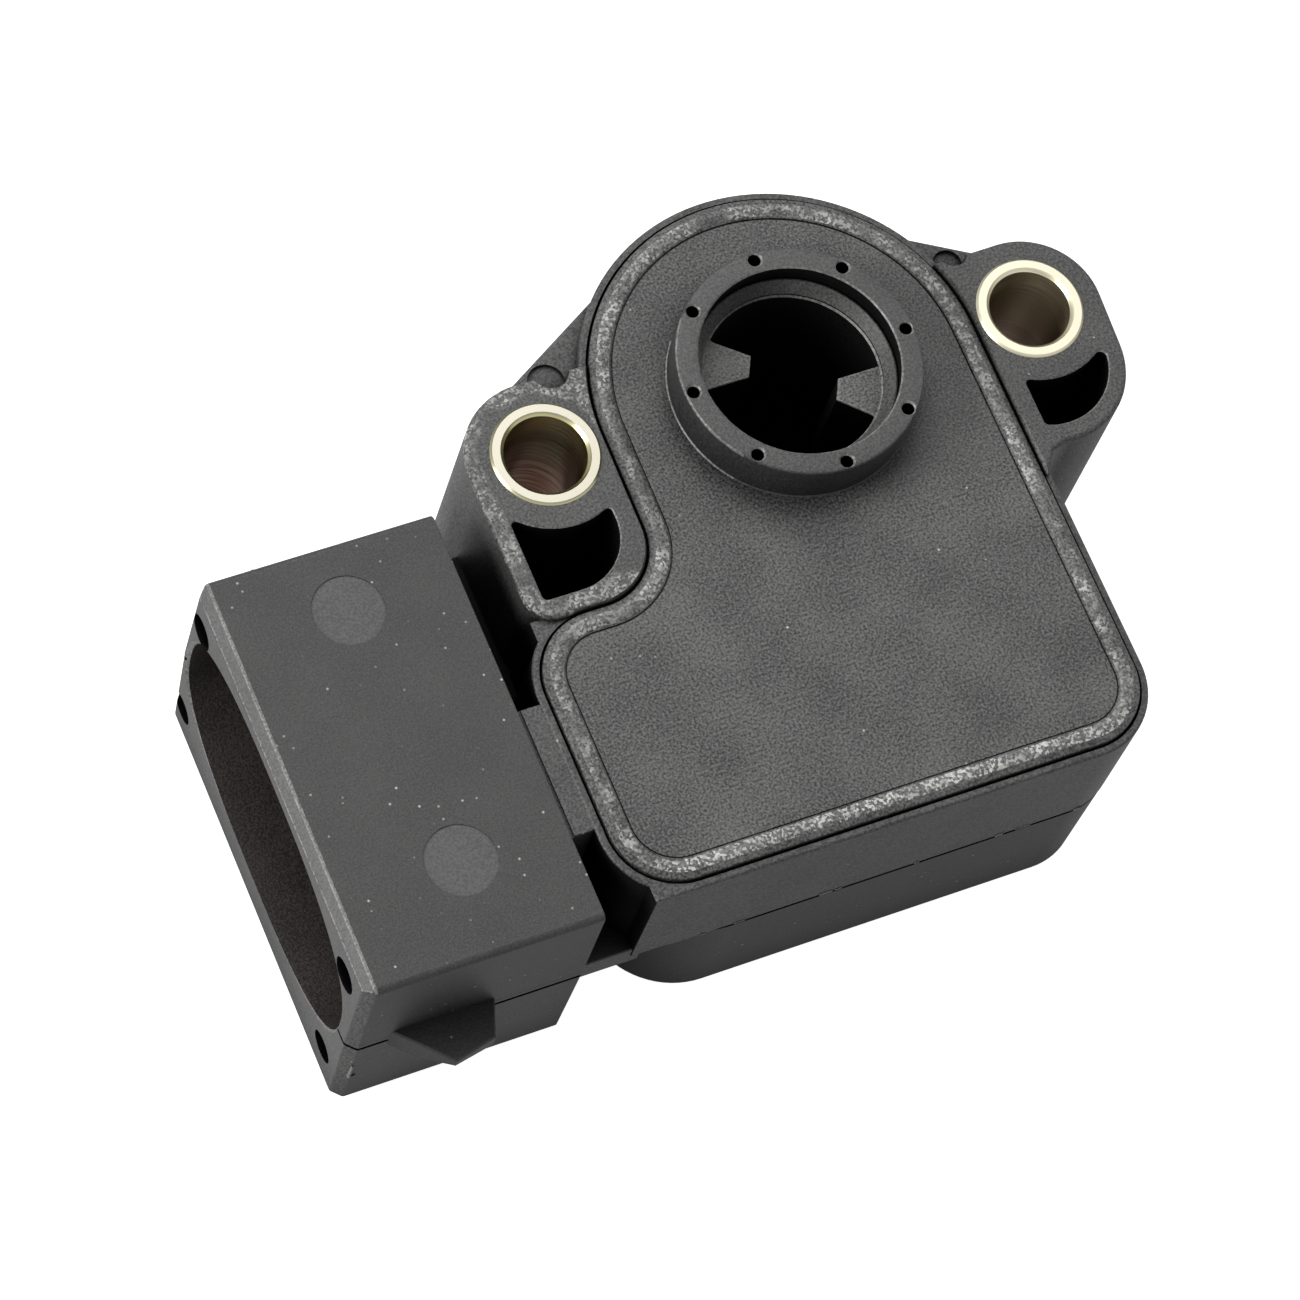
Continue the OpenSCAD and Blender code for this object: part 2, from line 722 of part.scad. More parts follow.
module ground_conductor() {
    a = track_ends[1];
    edge = resistor_r * cos(a);
    conductor([on_ring(resistor_r + track_w / 2 + 0.2, a + 3), [edge + 1.6, strip_at(1) + 2 * trace_in],
        [edge - 1, strip_at(1)], [foot_x, strip_at(1)]], strip_at(1));
    color("silver") sector(resistor_r - track_w / 2, resistor_r + track_w / 2 + 0.2, a, a + 5, -board_top,
        -board_top + track_t);
}

// Terminals: a blade in the socket, a strip through the wall and a foot on the board; k is -1, 0 or 1

module terminal_strip(k) {
    blade_y = -socket_y - k * blade_pitch;
    inner_y = strip_at(k);
    half = strip_w / 2;
    back = mouth_x + cavity_d;
    inside = foot_x - foot_len / 2 - 1;
    w = blade_w / 2;
    jog = [back + jog_in[0], -socket_rear - jog_in[1]];
    plate([[back - eps, blade_y - w], [jog[0], blade_y - w], [jog[1], inner_y - half],
        [inside, inner_y - half], [inside, inner_y + half], [jog[1], inner_y + half],
        [jog[0], blade_y + w], [back - eps, blade_y + w]],
        terminal_z - blade_t / 2, terminal_z + blade_t / 2);
}

module terminal(k) {
    blade_y = -socket_y - k * blade_pitch;
    inner_y = strip_at(k);
    back = mouth_x + cavity_d;
    t = blade_t / 2;
    low = -board_top + track_t;
    inside = foot_x - foot_len / 2 - 1;
    tip = back - blade_len;
    w = blade_w / 2;
    color([0.75, 0.74, 0.7]) union() {
        terminal_strip(k);
        intersection() {
            translate([0, blade_y, 0]) plate([[back, -w], [tip + 0.6, -w], [tip, 0.5 - w], [tip, w - 0.5],
                [tip + 0.6, w], [back, w]], terminal_z - t, terminal_z + t);
            rotate([90, 0, 0]) translate([0, 0, -blade_y - blade_w]) linear_extrude(2 * blade_w)
                polygon([[back, terminal_z - t], [tip + 1, terminal_z - t], [tip, terminal_z - blade_tip / 2],
                    [tip, terminal_z + blade_tip / 2], [tip + 1, terminal_z + t], [back, terminal_z + t]]);
        }
        rotate([90, 0, 0]) translate([0, 0, -inner_y - strip_w / 2]) linear_extrude(strip_w)
            polygon([[inside - eps, terminal_z + t], [foot_x - 0.6, terminal_z + t],
                [foot_x, terminal_z + t - 0.6], [foot_x, low + blade_t],
                [foot_x + foot_len / 2, low + blade_t], [foot_x + foot_len / 2, low],
                [foot_x - blade_t, low], [foot_x - blade_t, terminal_z - t], [inside - eps, terminal_z - t]]);
    }
}

module supply_terminal() {
    terminal(0);
}

module ground_terminal() {
    terminal(1);
}

module signal_terminal() {
    terminal(-1);
}

// Steel bushes that carry the screws' clamping load
module bush(x) {
    r = bush_od / 2;
    b = bush_bore / 2;
    edge = 0.2;
    color([0.86, 0.8, 0.6]) translate([x, 0, -bush_len]) rotate_extrude()
        polygon([[b + edge, 0], [r - edge, 0], [r, edge], [r, bush_len - edge], [r - edge / 2, bush_len],
            [b + edge, bush_len], [b, bush_len - edge], [b, edge]]);
}

module left_bush() {
    bush(left_x);
}

module right_bush() {
    bush(right_x);
}

housing();
cover();
cover_sealant();
rotor();
return_spring();
wave_washer();
wiper_plate();
resistor_brush();
collector_brush();
element_board();
resistor_track();
collector_track();
supply_conductor();
ground_conductor();
signal_conductor();
supply_terminal();
ground_terminal();
signal_terminal();
left_bush();
right_bush();
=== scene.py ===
"""Looks of a throttle position sensor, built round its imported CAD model.

The housing, the cover, the rotor and the bushes are modelled here in bmesh, in millimetres about the rotor's
axis, and scaled to metres at the end. The pieces sealed inside keep their CAD solids and get real finishes.
"""

import logging
import math
from collections.abc import Sequence
from dataclasses import dataclass, replace
from enum import Enum
from typing import Any

import bmesh
import bpy
from bmesh.types import BMesh, BMFace, BMVert
from bpy.types import ID, Material, Node, NodeSocket, NodeTree, Object
from mathutils import Matrix, Vector


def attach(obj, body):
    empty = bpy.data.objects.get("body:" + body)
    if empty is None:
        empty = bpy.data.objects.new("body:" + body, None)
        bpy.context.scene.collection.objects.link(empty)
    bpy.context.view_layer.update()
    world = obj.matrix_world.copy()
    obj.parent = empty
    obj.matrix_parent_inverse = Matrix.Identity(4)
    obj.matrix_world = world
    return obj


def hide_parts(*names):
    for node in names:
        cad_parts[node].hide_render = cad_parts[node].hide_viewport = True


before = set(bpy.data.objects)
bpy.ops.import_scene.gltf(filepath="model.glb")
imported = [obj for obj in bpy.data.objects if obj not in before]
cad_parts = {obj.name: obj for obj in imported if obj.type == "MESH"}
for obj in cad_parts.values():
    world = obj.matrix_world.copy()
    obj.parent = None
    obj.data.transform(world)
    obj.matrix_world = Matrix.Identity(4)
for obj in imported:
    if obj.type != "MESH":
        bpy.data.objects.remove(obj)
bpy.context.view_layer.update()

LOG = logging.getLogger("sensor")
MM = 0.001
FLATNESS = 0.006  # how far a drawn arc's chords may leave its circle, in mm
JOIN = 0.003  # stretches of an outline that end closer than this share a point, in mm
BUSH_X = 17.5  # how far each bush stands from the rotor's axis, in mm
SPRING_AT = 110.0  # where the spring's fixed leg stands, in degrees about the rotor's axis
SHARP = math.radians(38)  # least angle of an edge that is shaded sharp
FINISHES = 8  # most finishes on one piece
# the fifth finish is painted deep shade in hollows and grooves, the sixth painted highlight on edges and chamfers, the
# eighth painted dim shade on low faces
SKIN, FROST, PALE, CAVITY, PAINTED_SHADE_DEEP, PAINTED_HIGHLIGHT, SATIN, PAINTED_SHADE_DIM = range(FINISHES)  # finish numbers of the mouldings


# Small tools


def linear(code: str) -> tuple[float, float, float, float]:
    """Turns an sRGB colour, as "#rrggbb", into linear RGBA."""
    parts = [int(code[i:i + 2], 16) / 255 for i in (1, 3, 5)]
    return (*[c / 12.92 if c <= 0.04045 else ((c + 0.055) / 1.055) ** 2.4 for c in parts], 1.0)


def add(tree: NodeTree, kind: str, **given: Any) -> Node:
    """Adds a shader node with its settings and the values or links of its inputs.

    Args:
        tree: The tree that gets the node.
        kind: The node's type, without "ShaderNode".
        given: First its own properties, then its inputs, by name with "_" for a blank or by place as i0, i1. A
            socket or a node's first output in use is linked, a hex colour or another value is set.

    Returns:
        The new node.
    """
    made = tree.nodes.new(f"ShaderNode{kind}")
    for key, value in given.items():
        if key in made.bl_rna.properties:
            setattr(made, key, value)
            continue
        socket = made.inputs[int(key[1:]) if key[0] == "i" and key[1:].isdigit() else key.replace("_", " ")]
        if isinstance(value, Node):
            value = next(out for out in value.outputs if out.enabled)
        if isinstance(value, NodeSocket):
            tree.links.new(value, socket)
        else:
            socket.default_value = linear(value) if isinstance(value, str) else value
    return made


def linked(name: str, data: ID) -> Object:
    """Makes an object of a mesh, a lamp or a lens, and links it to the scene."""
    made = bpy.data.objects.new(name, data)
    bpy.context.scene.collection.objects.link(made)
    return made


# Outlines and solids, in millimetres


@dataclass(frozen=True)
class Arc:
    """A stretch of an outline that runs anticlockwise: an arc about a centre, or a sharp corner where r is 0."""

    x: float
    y: float
    r: float = 0.0
    start: float = 0.0
    end: float = 0.0

    def grown(self, by: float) -> "Arc":
        """Returns the same stretch of an outline that is larger all round."""
        if self.r == 0.0:
            return self
        return replace(self, r=self.r + (by if self.end > self.start else -by))


@dataclass(frozen=True)
class Step:
    """One inset of a solid's end face: how far in, how far along, and the finish of the new side."""

    inward: float
    along: float
    finish: int = 0


class Fit(Enum):
    """How a form joins the solid that it meets."""

    ADD = "UNION"
    CUT = "DIFFERENCE"


def rounding(radius: float, finish: int = 0, parts: int = 3) -> list[Step]:
    """Returns the steps that round an edge with some facets of one finish."""
    turns = [math.pi / 2 * i / parts for i in range(parts + 1)]
    return [Step(radius * (math.cos(a) - math.cos(b)), radius * (math.sin(b) - math.sin(a)), finish)
            for a, b in zip(turns, turns[1:])]


def look_up(face: BMFace) -> BMFace:
    """Turns a face so that it looks up, and returns it."""
    face.normal_update()
    if face.normal.z < 0:
        face.normal_flip()
    return face


def carry(bm: BMesh, face: BMFace, steps: Sequence[Step]) -> None:
    """Carries a face through steps, and gives the sides that they leave their finish.

    Args:
        bm: The mesh.
        face: The face.
        steps: The steps.
    """
    for step in steps:
        sides = bmesh.ops.inset_region(bm, faces=[face], thickness=step.inward, depth=step.along,
                                       use_boundary=True, use_even_offset=True)["faces"]
        for side in sides:
            side.material_index = step.finish


def bevel(bm: BMesh, geom: Sequence[Any], offset: float, segments: int, affect: str = "EDGES") -> list[BMFace]:
    """Rounds edges or corners of a mesh, and returns the new faces."""
    return bmesh.ops.bevel(bm, geom=geom, offset=offset, offset_type="OFFSET", segments=segments, profile=0.5,
                           affect=affect, material=-1)["faces"]


def draw(bm: BMesh, arcs: Sequence[Arc], z: float, grow: float = 0.0) -> BMFace:
    """Draws an outline as one face.

    Args:
        bm: The mesh that gets the face.
        arcs: The outline, anticlockwise.
        z: The level.
        grow: How much larger the outline is all round.

    Returns:
        The face, which looks up.
    """
    ends, before = [], set(bm.edges)
    for arc in (a.grown(grow) for a in arcs):
        turn = math.radians(arc.end - arc.start)
        first = bm.verts.new((arc.x + arc.r, arc.y, z))
        bmesh.ops.rotate(bm, verts=[first], cent=(arc.x, arc.y, z),
                         matrix=Matrix.Rotation(math.radians(arc.start), 3, "Z"))
        last = first
        if arc.r > 0.0:
            pitch = 2 * math.acos(max(0.5, 1 - FLATNESS / arc.r))
            spun = bmesh.ops.spin(bm, geom=[first], cent=(arc.x, arc.y, z), axis=(0, 0, 1), angle=turn,
                                  steps=max(3, math.ceil(abs(turn) / pitch)))
            last = next(v for v in spun["geom_last"] if isinstance(v, BMVert))
        ends.append((first, last))
    for (_, last), (first, _) in zip(ends, ends[1:] + ends[:1]):
        if (last.co - first.co).length > JOIN:
            bm.edges.new((last, first))
    bmesh.ops.remove_doubles(bm, verts=bm.verts, dist=JOIN)
    return look_up(bmesh.ops.contextual_create(bm, geom=[e for e in bm.edges if e not in before])["faces"][0])


def keep(bm: BMesh, name: str) -> Object:
    """Closes a mesh's open foot, turns its faces outwards and makes it an object.

    Args:
        bm: The mesh, which is freed.
        name: The object's name.

    Returns:
        The object, linked to the scene.
    """
    rim = [e for e in bm.edges if e.is_boundary]
    if rim:
        bmesh.ops.contextual_create(bm, geom=rim)
    bmesh.ops.recalc_face_normals(bm, faces=bm.faces)
    mesh = bpy.data.meshes.new(name)
    bm.to_mesh(mesh)
    bm.free()
    for _ in range(FINISHES):
        mesh.materials.append(None)
    return linked(name, mesh)


def rise(arcs: Sequence[Arc], z: float, steps: Sequence[Step], grow: float = 0.0, down: bool = False,
         top: int = 0, turn: Matrix | None = None) -> Object:
    """Raises a solid from an outline by insets of its end face.

    Args:
        arcs: The outline at the foot.
        z: Level of the foot.
        steps: The insets, from the foot on.
        grow: How much larger the outline is all round.
        down: Whether the solid grows downwards.
        top: Finish of the end face.
        turn: A last transform.

    Returns:
        The solid as a loose form.
    """
    bm = bmesh.new()
    face = draw(bm, arcs, z, grow)
    if down:
        face.normal_flip()
    carry(bm, face, steps)
    face.material_index = top
    if turn:
        bmesh.ops.transform(bm, matrix=turn, verts=bm.verts)
    return keep(bm, "form")


def cube(low: Sequence[float], high: Sequence[float]) -> BMesh:
    """Makes the mesh of a block.

    Args:
        low: Lowest corner.
        high: Highest corner.

    Returns:
        The mesh.
    """
    bm, low_v, high_v = bmesh.new(), Vector(low), Vector(high)
    bmesh.ops.create_cube(bm, size=1.0)
    bmesh.ops.scale(bm, vec=high_v - low_v, verts=bm.verts)
    bmesh.ops.translate(bm, vec=(low_v + high_v) / 2, verts=bm.verts)
    return bm


def box(low: Sequence[float], high: Sequence[float], edge: float = 0.0, turn: float = 0.0) -> Object:
    """Makes a block.

    Args:
        low: Lowest corner.
        high: Highest corner.
        edge: Radius of its edges.
        turn: A last turn about the rotor's axis, in degrees.

    Returns:
        The block as a loose form.
    """
    bm = cube(low, high)
    if edge:
        bevel(bm, bm.edges[:], edge, 3)
    bmesh.ops.rotate(bm, cent=(0, 0, 0), matrix=Matrix.Rotation(math.radians(turn), 3, "Z"), verts=bm.verts)
    return keep(bm, "form")


def turned(profile: Sequence[tuple[float, float]], at: Sequence[float] = (0.0, 0.0, 0.0), parts: int = 96,
           tilt: Matrix | None = None, rounds: dict[int, float] | None = None) -> Object:
    """Spins a profile of radius and height about an upright axis.

    Args:
        profile: The closed profile's corners, or an open one whose ends lie on the axis.
        at: Foot of the axis.
        parts: Number of facets.
        tilt: A turn of the finished form about the axis's foot.
        rounds: Radius of the rounding of a corner, by its number.

    Returns:
        The solid as a loose form.
    """
    bm = bmesh.new()
    points = [bm.verts.new((r, 0.0, z)) for r, z in profile]
    closed = profile[0][0] > 0 or profile[-1][0] > 0
    for a, b in zip(points, points[1:] + (points[:1] if closed else [])):
        bm.edges.new((a, b))
    for corner, radius in (rounds or {}).items():
        bevel(bm, [points[corner]], radius, 3, "VERTICES")
    bmesh.ops.spin(bm, geom=bm.verts[:] + bm.edges[:], cent=(0, 0, 0), axis=(0, 0, 1), angle=2 * math.pi,
                   steps=parts, use_merge=True)
    bmesh.ops.remove_doubles(bm, verts=bm.verts, dist=1e-4)
    bmesh.ops.transform(bm, matrix=Matrix.Translation(at) @ (tilt or Matrix.Identity(4)), verts=bm.verts)
    return keep(bm, "form")


def pin(x: float, y: float, low: float, high: float, r: float, mouth: float = 0.0, parts: int = 64) -> Object:
    """Makes a round form that stands up, with a wider mouth at its upper end where it cuts a hole.

    Args:
        x: Place of the axis.
        y: Place of the axis.
        low: Level of the foot.
        high: Level of the face that it cuts, or of its own top.
        r: Radius.
        mouth: Size of the chamfer at the face; the form then stands proud of the face.
        parts: Number of facets.

    Returns:
        The pin as a loose form.
    """
    if mouth:
        side = [(r, high - mouth), (r + mouth, high), (r + mouth, high + 1.0), (0.0, high + 1.0)]
    else:
        side = [(r, high), (0.0, high)]
    return turned([(0.0, low), (r, low), *side], (x, y, 0.0), parts)


def dressed(form: Object, finish: int, edge: int | None = None, low: float = 0.2, high: float = 0.95) -> Object:
    """Gives a loose form one finish number, and its slanted faces another where one is named.

    Args:
        form: The form.
        finish: Finish of its upright and level faces.
        edge: Finish of the faces whose normal rises by a share between low and high.
        low: Least rise of a slanted face.
        high: Greatest rise of a slanted face.

    Returns:
        The form.
    """
    for side in form.data.polygons:
        slanted = edge is not None and low < abs(side.normal.z) < high
        side.material_index = edge if slanted else finish
    return form


def combine(base: Object, forms: Sequence[Object], fit: Fit) -> Object:
    """Adds forms to a solid or cuts them from it, and removes them.

    Args:
        base: The solid.
        forms: The forms.
        fit: Whether they are added or cut.

    Returns:
        The solid.
    """
    for form in forms:
        joint = base.modifiers.new("joint", "BOOLEAN")
        joint.operation, joint.solver, joint.object = fit.value, "EXACT", form
    shaped = bpy.data.meshes.new_from_object(base.evaluated_get(bpy.context.evaluated_depsgraph_get()))
    base.modifiers.clear()
    base.data = shaped
    for form in forms:
        bpy.data.meshes.remove(form.data)
    return base


def finish_piece(piece: Object, name: str, body: str, nodes: Sequence[str],
                 finishes: Sequence[Material]) -> None:
    """Scales a solid to metres, dresses it and puts it on its body.

    Args:
        piece: The solid, in millimetres.
        name: Its name.
        body: The CAD body that it rides on.
        nodes: The CAD nodes that it stands for.
        finishes: Its materials, by finish number.
    """
    bm = bmesh.new()
    bm.from_mesh(piece.data)
    bmesh.ops.remove_doubles(bm, verts=bm.verts, dist=1e-4)
    bmesh.ops.dissolve_degenerate(bm, edges=bm.edges, dist=1e-4)
    bmesh.ops.scale(bm, vec=(MM, MM, MM), verts=bm.verts)
    bm.normal_update()
    for face in bm.faces:
        face.smooth = True
    for edge in bm.edges:
        edge.smooth = len(edge.link_faces) == 2 and edge.calc_face_angle(0.0) < SHARP
    open_edges = sum(not edge.is_manifold for edge in bm.edges)
    bm.to_mesh(piece.data)
    bm.free()
    piece.name = piece.data.name = name
    for number, finish in enumerate(finishes):
        piece.data.materials[number] = finish
    for _ in range(FINISHES - len(finishes)):
        piece.data.materials.pop()
    piece.modifiers.new("even_shading", "WEIGHTED_NORMAL").keep_sharp = True
    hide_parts(*nodes)
    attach(piece, body)
    LOG.info("%s: %d faces, %d open edges, on %s", name, len(piece.data.polygons), open_edges, body)


# Finishes


class Sheet:
    """The nodes of one material, laid out over Object coordinates."""

    def __init__(self, name: str) -> None:
        """Starts a material with an empty tree.

        Args:
            name: The material's name.
        """
        self.material = bpy.data.materials.new(name)
        self.material.use_nodes = True
        self.tree = self.material.node_tree
        self.tree.nodes.clear()
        self.place = add(self.tree, "TexCoord").outputs["Object"]

    def close(self, colour: Node, height: Node, depth_mm: float, strength: float = 1.0, **settings: Any) -> Material:
        """Ends the tree with a shader over a bumped face.

        Args:
            colour: Its colour.
            height: Height of the face, from 0 to 1.
            depth_mm: Depth that a height of 1 stands for.
            strength: Share of the bump.
            settings: The shader's other inputs.

        Returns:
            The material.
        """
        bump = add(self.tree, "Bump", Height=height, Strength=strength, Distance=depth_mm * MM)
        shader = add(self.tree, "BsdfPrincipled", Base_Color=colour, Normal=bump, **settings)
        add(self.tree, "OutputMaterial", Surface=shader)
        return self.material


class Zone(Enum):
    """Where a moulding carries the frost of bare glass fibres, and where painted glints lift it."""

    EVEN = "even"
    RIM = "rim"
    LEFT_EAR = "left_ear"


@dataclass(frozen=True)
class MouldedNylon:
    """Charcoal nylon with glass fibre, injection moulded: a dull skin over a sandy grain.

    Where the mould was hot or rough the fibres lie bare as pale flecks, painted brighter as glints. Deep corners get
    painted shade.
    """

    name: str
    base: str = "#1f1f1f"
    pale: str = "#7d7c7b"
    roughness: float = 0.5
    grain_mm: float = 0.165
    grain_depth_mm: float = 0.03
    fleck: str = "#f0f0ec"
    fleck_mm: float = 0.17
    fleck_from: float = 0.0
    dust_share: float = 0.0
    zone: Zone = Zone.EVEN
    # shade is the least share of colour that the painted shade leaves in deep corners; the painted shade scales sheen,
    # the reflection, too
    shade: float = 0.12
    sheen: float = 0.5

    def painted_glint_mask(self, sheet: Sheet) -> Node:
        """Finds how much more painted glint a point carries, where the light catches it.

        Args:
            sheet: The material's nodes.

        Returns:
            Painted glints: on the left ear a band along its outer edge, on the rim a lift at its front and its round
                end.
        """
        tree = sheet.tree
        if self.zone is Zone.LEFT_EAR:
            least, most = -0.5, 0.08
            centred = add(tree, "Mapping", i0=sheet.place, Location=(BUSH_X * MM, 0.0, 0.0))
            x, y, _ = add(tree, "SeparateXYZ", i0=centred).outputs
            above = add(tree, "Math", operation="MAXIMUM", i0=y, i1=0.0)
            aside = add(tree, "Math", operation="MULTIPLY", i0=x, i1=x)
            square = add(tree, "Math", operation="MULTIPLY_ADD", i0=above, i1=above, i2=aside)
            reach = add(tree, "Math", operation="SQRT", i0=square)
            first = add(tree, "MapRange", Value=reach, From_Min=3.6 * MM, From_Max=4.4 * MM, To_Min=least, To_Max=most)
            second = add(tree, "MapRange", Value=y, From_Min=-8.5 * MM, From_Max=-9.5 * MM, To_Min=least, To_Max=most)
        else:
            x, y, _ = add(tree, "SeparateXYZ", i0=sheet.place).outputs
            skew = add(tree, "Math", operation="SUBTRACT", i0=y, i1=x)
            first = add(tree, "MapRange", Value=skew, From_Min=14.0 * MM, From_Max=17.2 * MM, To_Max=0.12)
            second = add(tree, "MapRange", Value=y, From_Min=-27.5 * MM, From_Max=-28.8 * MM, To_Max=0.2)
        return add(tree, "Math", operation="MAXIMUM", i0=first, i1=second)

    def frost_and_glints(self, sheet: Sheet, colour: Node, grain: Node) -> tuple[Node, Node]:
        """Lays bare fibres over the skin, with painted glints.

        Args:
            sheet: The material's nodes.
            colour: The skin's colour.
            grain: The skin's height.

        Returns:
            The new colour and height.
        """
        tree = sheet.tree
        patch = add(tree, "TexNoise", Vector=sheet.place, Scale=1 / (2.2 * MM), Detail=3.0)
        if self.zone is not Zone.EVEN:
            patch = add(tree, "Math", operation="ADD", i0=patch, i1=self.painted_glint_mask(sheet))
        spread = add(tree, "MapRange", Value=patch, From_Min=self.fleck_from, From_Max=self.fleck_from + 0.4)
        # each cell is one fibre end, with its own brightness painted on as a glint
        cell = add(tree, "TexVoronoi", Vector=sheet.place, Scale=1 / (self.fleck_mm * MM), Randomness=1.0)
        chance = add(tree, "SeparateColor", i0=cell.outputs["Color"])
        glint = add(tree, "MapRange", Value=chance, From_Min=0.45, From_Max=0.85, To_Min=0.06)
        share = add(tree, "Math", operation="MULTIPLY", i0=spread, i1=glint)
        return (add(tree, "Mix", data_type="RGBA", i0=share, i6=colour, i7=self.fleck),
                add(tree, "Math", operation="MULTIPLY_ADD", i0=share, i1=0.8, i2=grain))

    def make(self) -> Material:
        """Builds the material."""
        sheet = Sheet(self.name)
        tree = sheet.tree
        # flow of the melt: soft clouds some 5 mm across
        cloud = add(tree, "TexNoise", Vector=sheet.place, Scale=1 / (5 * MM), Detail=2.0)
        grain = add(tree, "TexNoise", Vector=sheet.place, Scale=1 / (self.grain_mm * MM), Detail=1.0)
        mottle = add(tree, "Math", operation="MULTIPLY_ADD", i0=cloud, i1=0.3, i2=grain)
        tone = add(tree, "MapRange", Value=mottle, From_Min=0.48, From_Max=0.84)
        colour, height = add(tree, "Mix", data_type="RGBA", i0=tone, i6=self.base, i7=self.pale), grain
        if self.fleck_from:
            colour, height = self.frost_and_glints(sheet, colour, grain)
        if self.dust_share:
            # specks of dust and bare fibre ends, at most one every 0.9 mm and 0.15 mm across
            cell = add(tree, "TexVoronoi", Vector=sheet.place, Scale=1 / (0.9 * MM), Randomness=1.0)
            chance = add(tree, "SeparateColor", i0=cell.outputs["Color"])
            rare = add(tree, "MapRange", Value=chance, From_Min=self.dust_share, From_Max=0.0)
            spot = add(tree, "MapRange", Value=cell, From_Min=0.12, From_Max=0.04)
            speck = add(tree, "Math", operation="MULTIPLY", i0=spot, i1=rare)
            colour = add(tree, "Mix", data_type="RGBA", i0=speck, i6=colour, i7=self.fleck)
        # painted shade: ambient occlusion darkens the colour and dims the reflection in deep corners
        depth = add(tree, "AmbientOcclusion", samples=6, Distance=9 * MM)
        clear = add(tree, "MapRange", Value=depth.outputs["AO"], From_Min=0.25, From_Max=0.8, To_Min=self.shade)
        colour = add(tree, "VectorMath", operation="SCALE", i0=colour, Scale=clear)
        sheen = add(tree, "Math", operation="MULTIPLY", i0=clear, i1=self.sheen)
        return sheet.close(colour, height, self.grain_depth_mm, Roughness=self.roughness, IOR=1.5,
                           Specular_IOR_Level=sheen)


@dataclass(frozen=True)
class PassivatedSteel:
    """Turned free-cutting steel, zinc plated and yellow passivated.

    The faced ends are pale gold; down the bore the film turns from green to red-brown over the tool's marks.
    """

    name: str
    face: str = "#a6a294"
    chamfer: str = "#c9c592"
    green: str = "#6d7050"
    brown: str = "#6a3826"
    mark: str = "#9b9474"
    roughness: float = 0.28

    def make(self) -> Material:
        """Builds the material."""
        sheet = Sheet(self.name)
        tree = sheet.tree
        level = add(tree, "SeparateXYZ", i0=sheet.place).outputs["Z"]
        # the film's tint changes down the bore, unevenly
        depth = add(tree, "MapRange", Value=level, From_Min=-9 * MM, From_Max=0.0)
        cloud = add(tree, "TexNoise", Vector=sheet.place, Scale=1 / (3 * MM), Detail=1.0)
        film = add(tree, "Math", operation="MULTIPLY_ADD", i0=cloud, i1=0.25, i2=depth)
        tint = add(tree, "ValToRGB", Fac=film)
        ramp = tint.color_ramp
        ramp.elements[0].position, ramp.elements[0].color = 0.35, linear(self.brown)
        ramp.elements[1].position, ramp.elements[1].color = 1.0, linear(self.chamfer)
        ramp.elements.new(0.8).color = linear(self.green)
        # fine tool marks along the bush
        stretched = add(tree, "Mapping", i0=sheet.place, Scale=(0.06, 0.06, 1.0))
        rings = add(tree, "TexNoise", Vector=stretched, Scale=1 / (0.22 * MM), Detail=1.0)
        lines = add(tree, "MapRange", Value=rings, From_Min=0.42, From_Max=0.66, To_Max=0.45)
        lined = add(tree, "Mix", data_type="RGBA", i0=lines, i6=tint, i7=self.mark)
        faced = add(tree, "MapRange", Value=level, From_Min=-0.12 * MM, From_Max=-0.04 * MM)
        colour = add(tree, "Mix", data_type="RGBA", i0=faced, i6=lined, i7=self.face)
        return sheet.close(colour, rings, 0.02, 0.6, Roughness=self.roughness, Metallic=1.0)


@dataclass(frozen=True)
class DrawnMetal:
    """Bare metal strip or wire, rolled or drawn: fine lines run along it and break up its gloss."""

    name: str
    dark: str
    bright: str
    roughness: float
    line_mm: float
    stretch: tuple[float, float, float]

    def make(self) -> Material:
        """Builds the material."""
        sheet = Sheet(self.name)
        tree = sheet.tree
        along = add(tree, "Mapping", i0=sheet.place, Scale=self.stretch)
        lines = add(tree, "TexNoise", Vector=along, Scale=1 / (self.line_mm * MM), Detail=2.0)
        # handling stains, some 4 mm across
        cloud = add(tree, "TexNoise", Vector=sheet.place, Scale=1 / (4 * MM), Detail=2.0)
        stain = add(tree, "Math", operation="MULTIPLY_ADD", i0=cloud, i1=0.6, i2=lines)
        share = add(tree, "MapRange", Value=stain, From_Min=0.5, From_Max=1.1)
        colour = add(tree, "Mix", data_type="RGBA", i0=share, i6=self.dark, i7=self.bright)
        rough = add(tree, "MapRange", Value=lines, To_Min=self.roughness - 0.08, To_Max=self.roughness + 0.12)
        return sheet.close(colour, lines, 0.006, 0.5, Roughness=rough, Metallic=1.0)


@dataclass(frozen=True)
class Layer:
    """A printed, poured or pressed layer: an even colour with a fine mottle and a slightly uneven face."""

    name: str
    base: str
    pale: str
    roughness: float
    mottle_mm: float
    depth_mm: float
    metallic: float = 0.0

    def make(self) -> Material:
        """Builds the material."""
        sheet = Sheet(self.name)
        mottle = add(sheet.tree, "TexNoise", Vector=sheet.place, Scale=1 / (self.mottle_mm * MM), Detail=3.0)
        share = add(sheet.tree, "MapRange", Value=mottle, From_Min=0.35, From_Max=0.65)
        colour = add(sheet.tree, "Mix", data_type="RGBA", i0=share, i6=self.base, i7=self.pale)
        return sheet.close(colour, mottle, self.depth_mm, Roughness=self.roughness, Metallic=self.metallic)


# The body's outlines, which the housing and the cover share


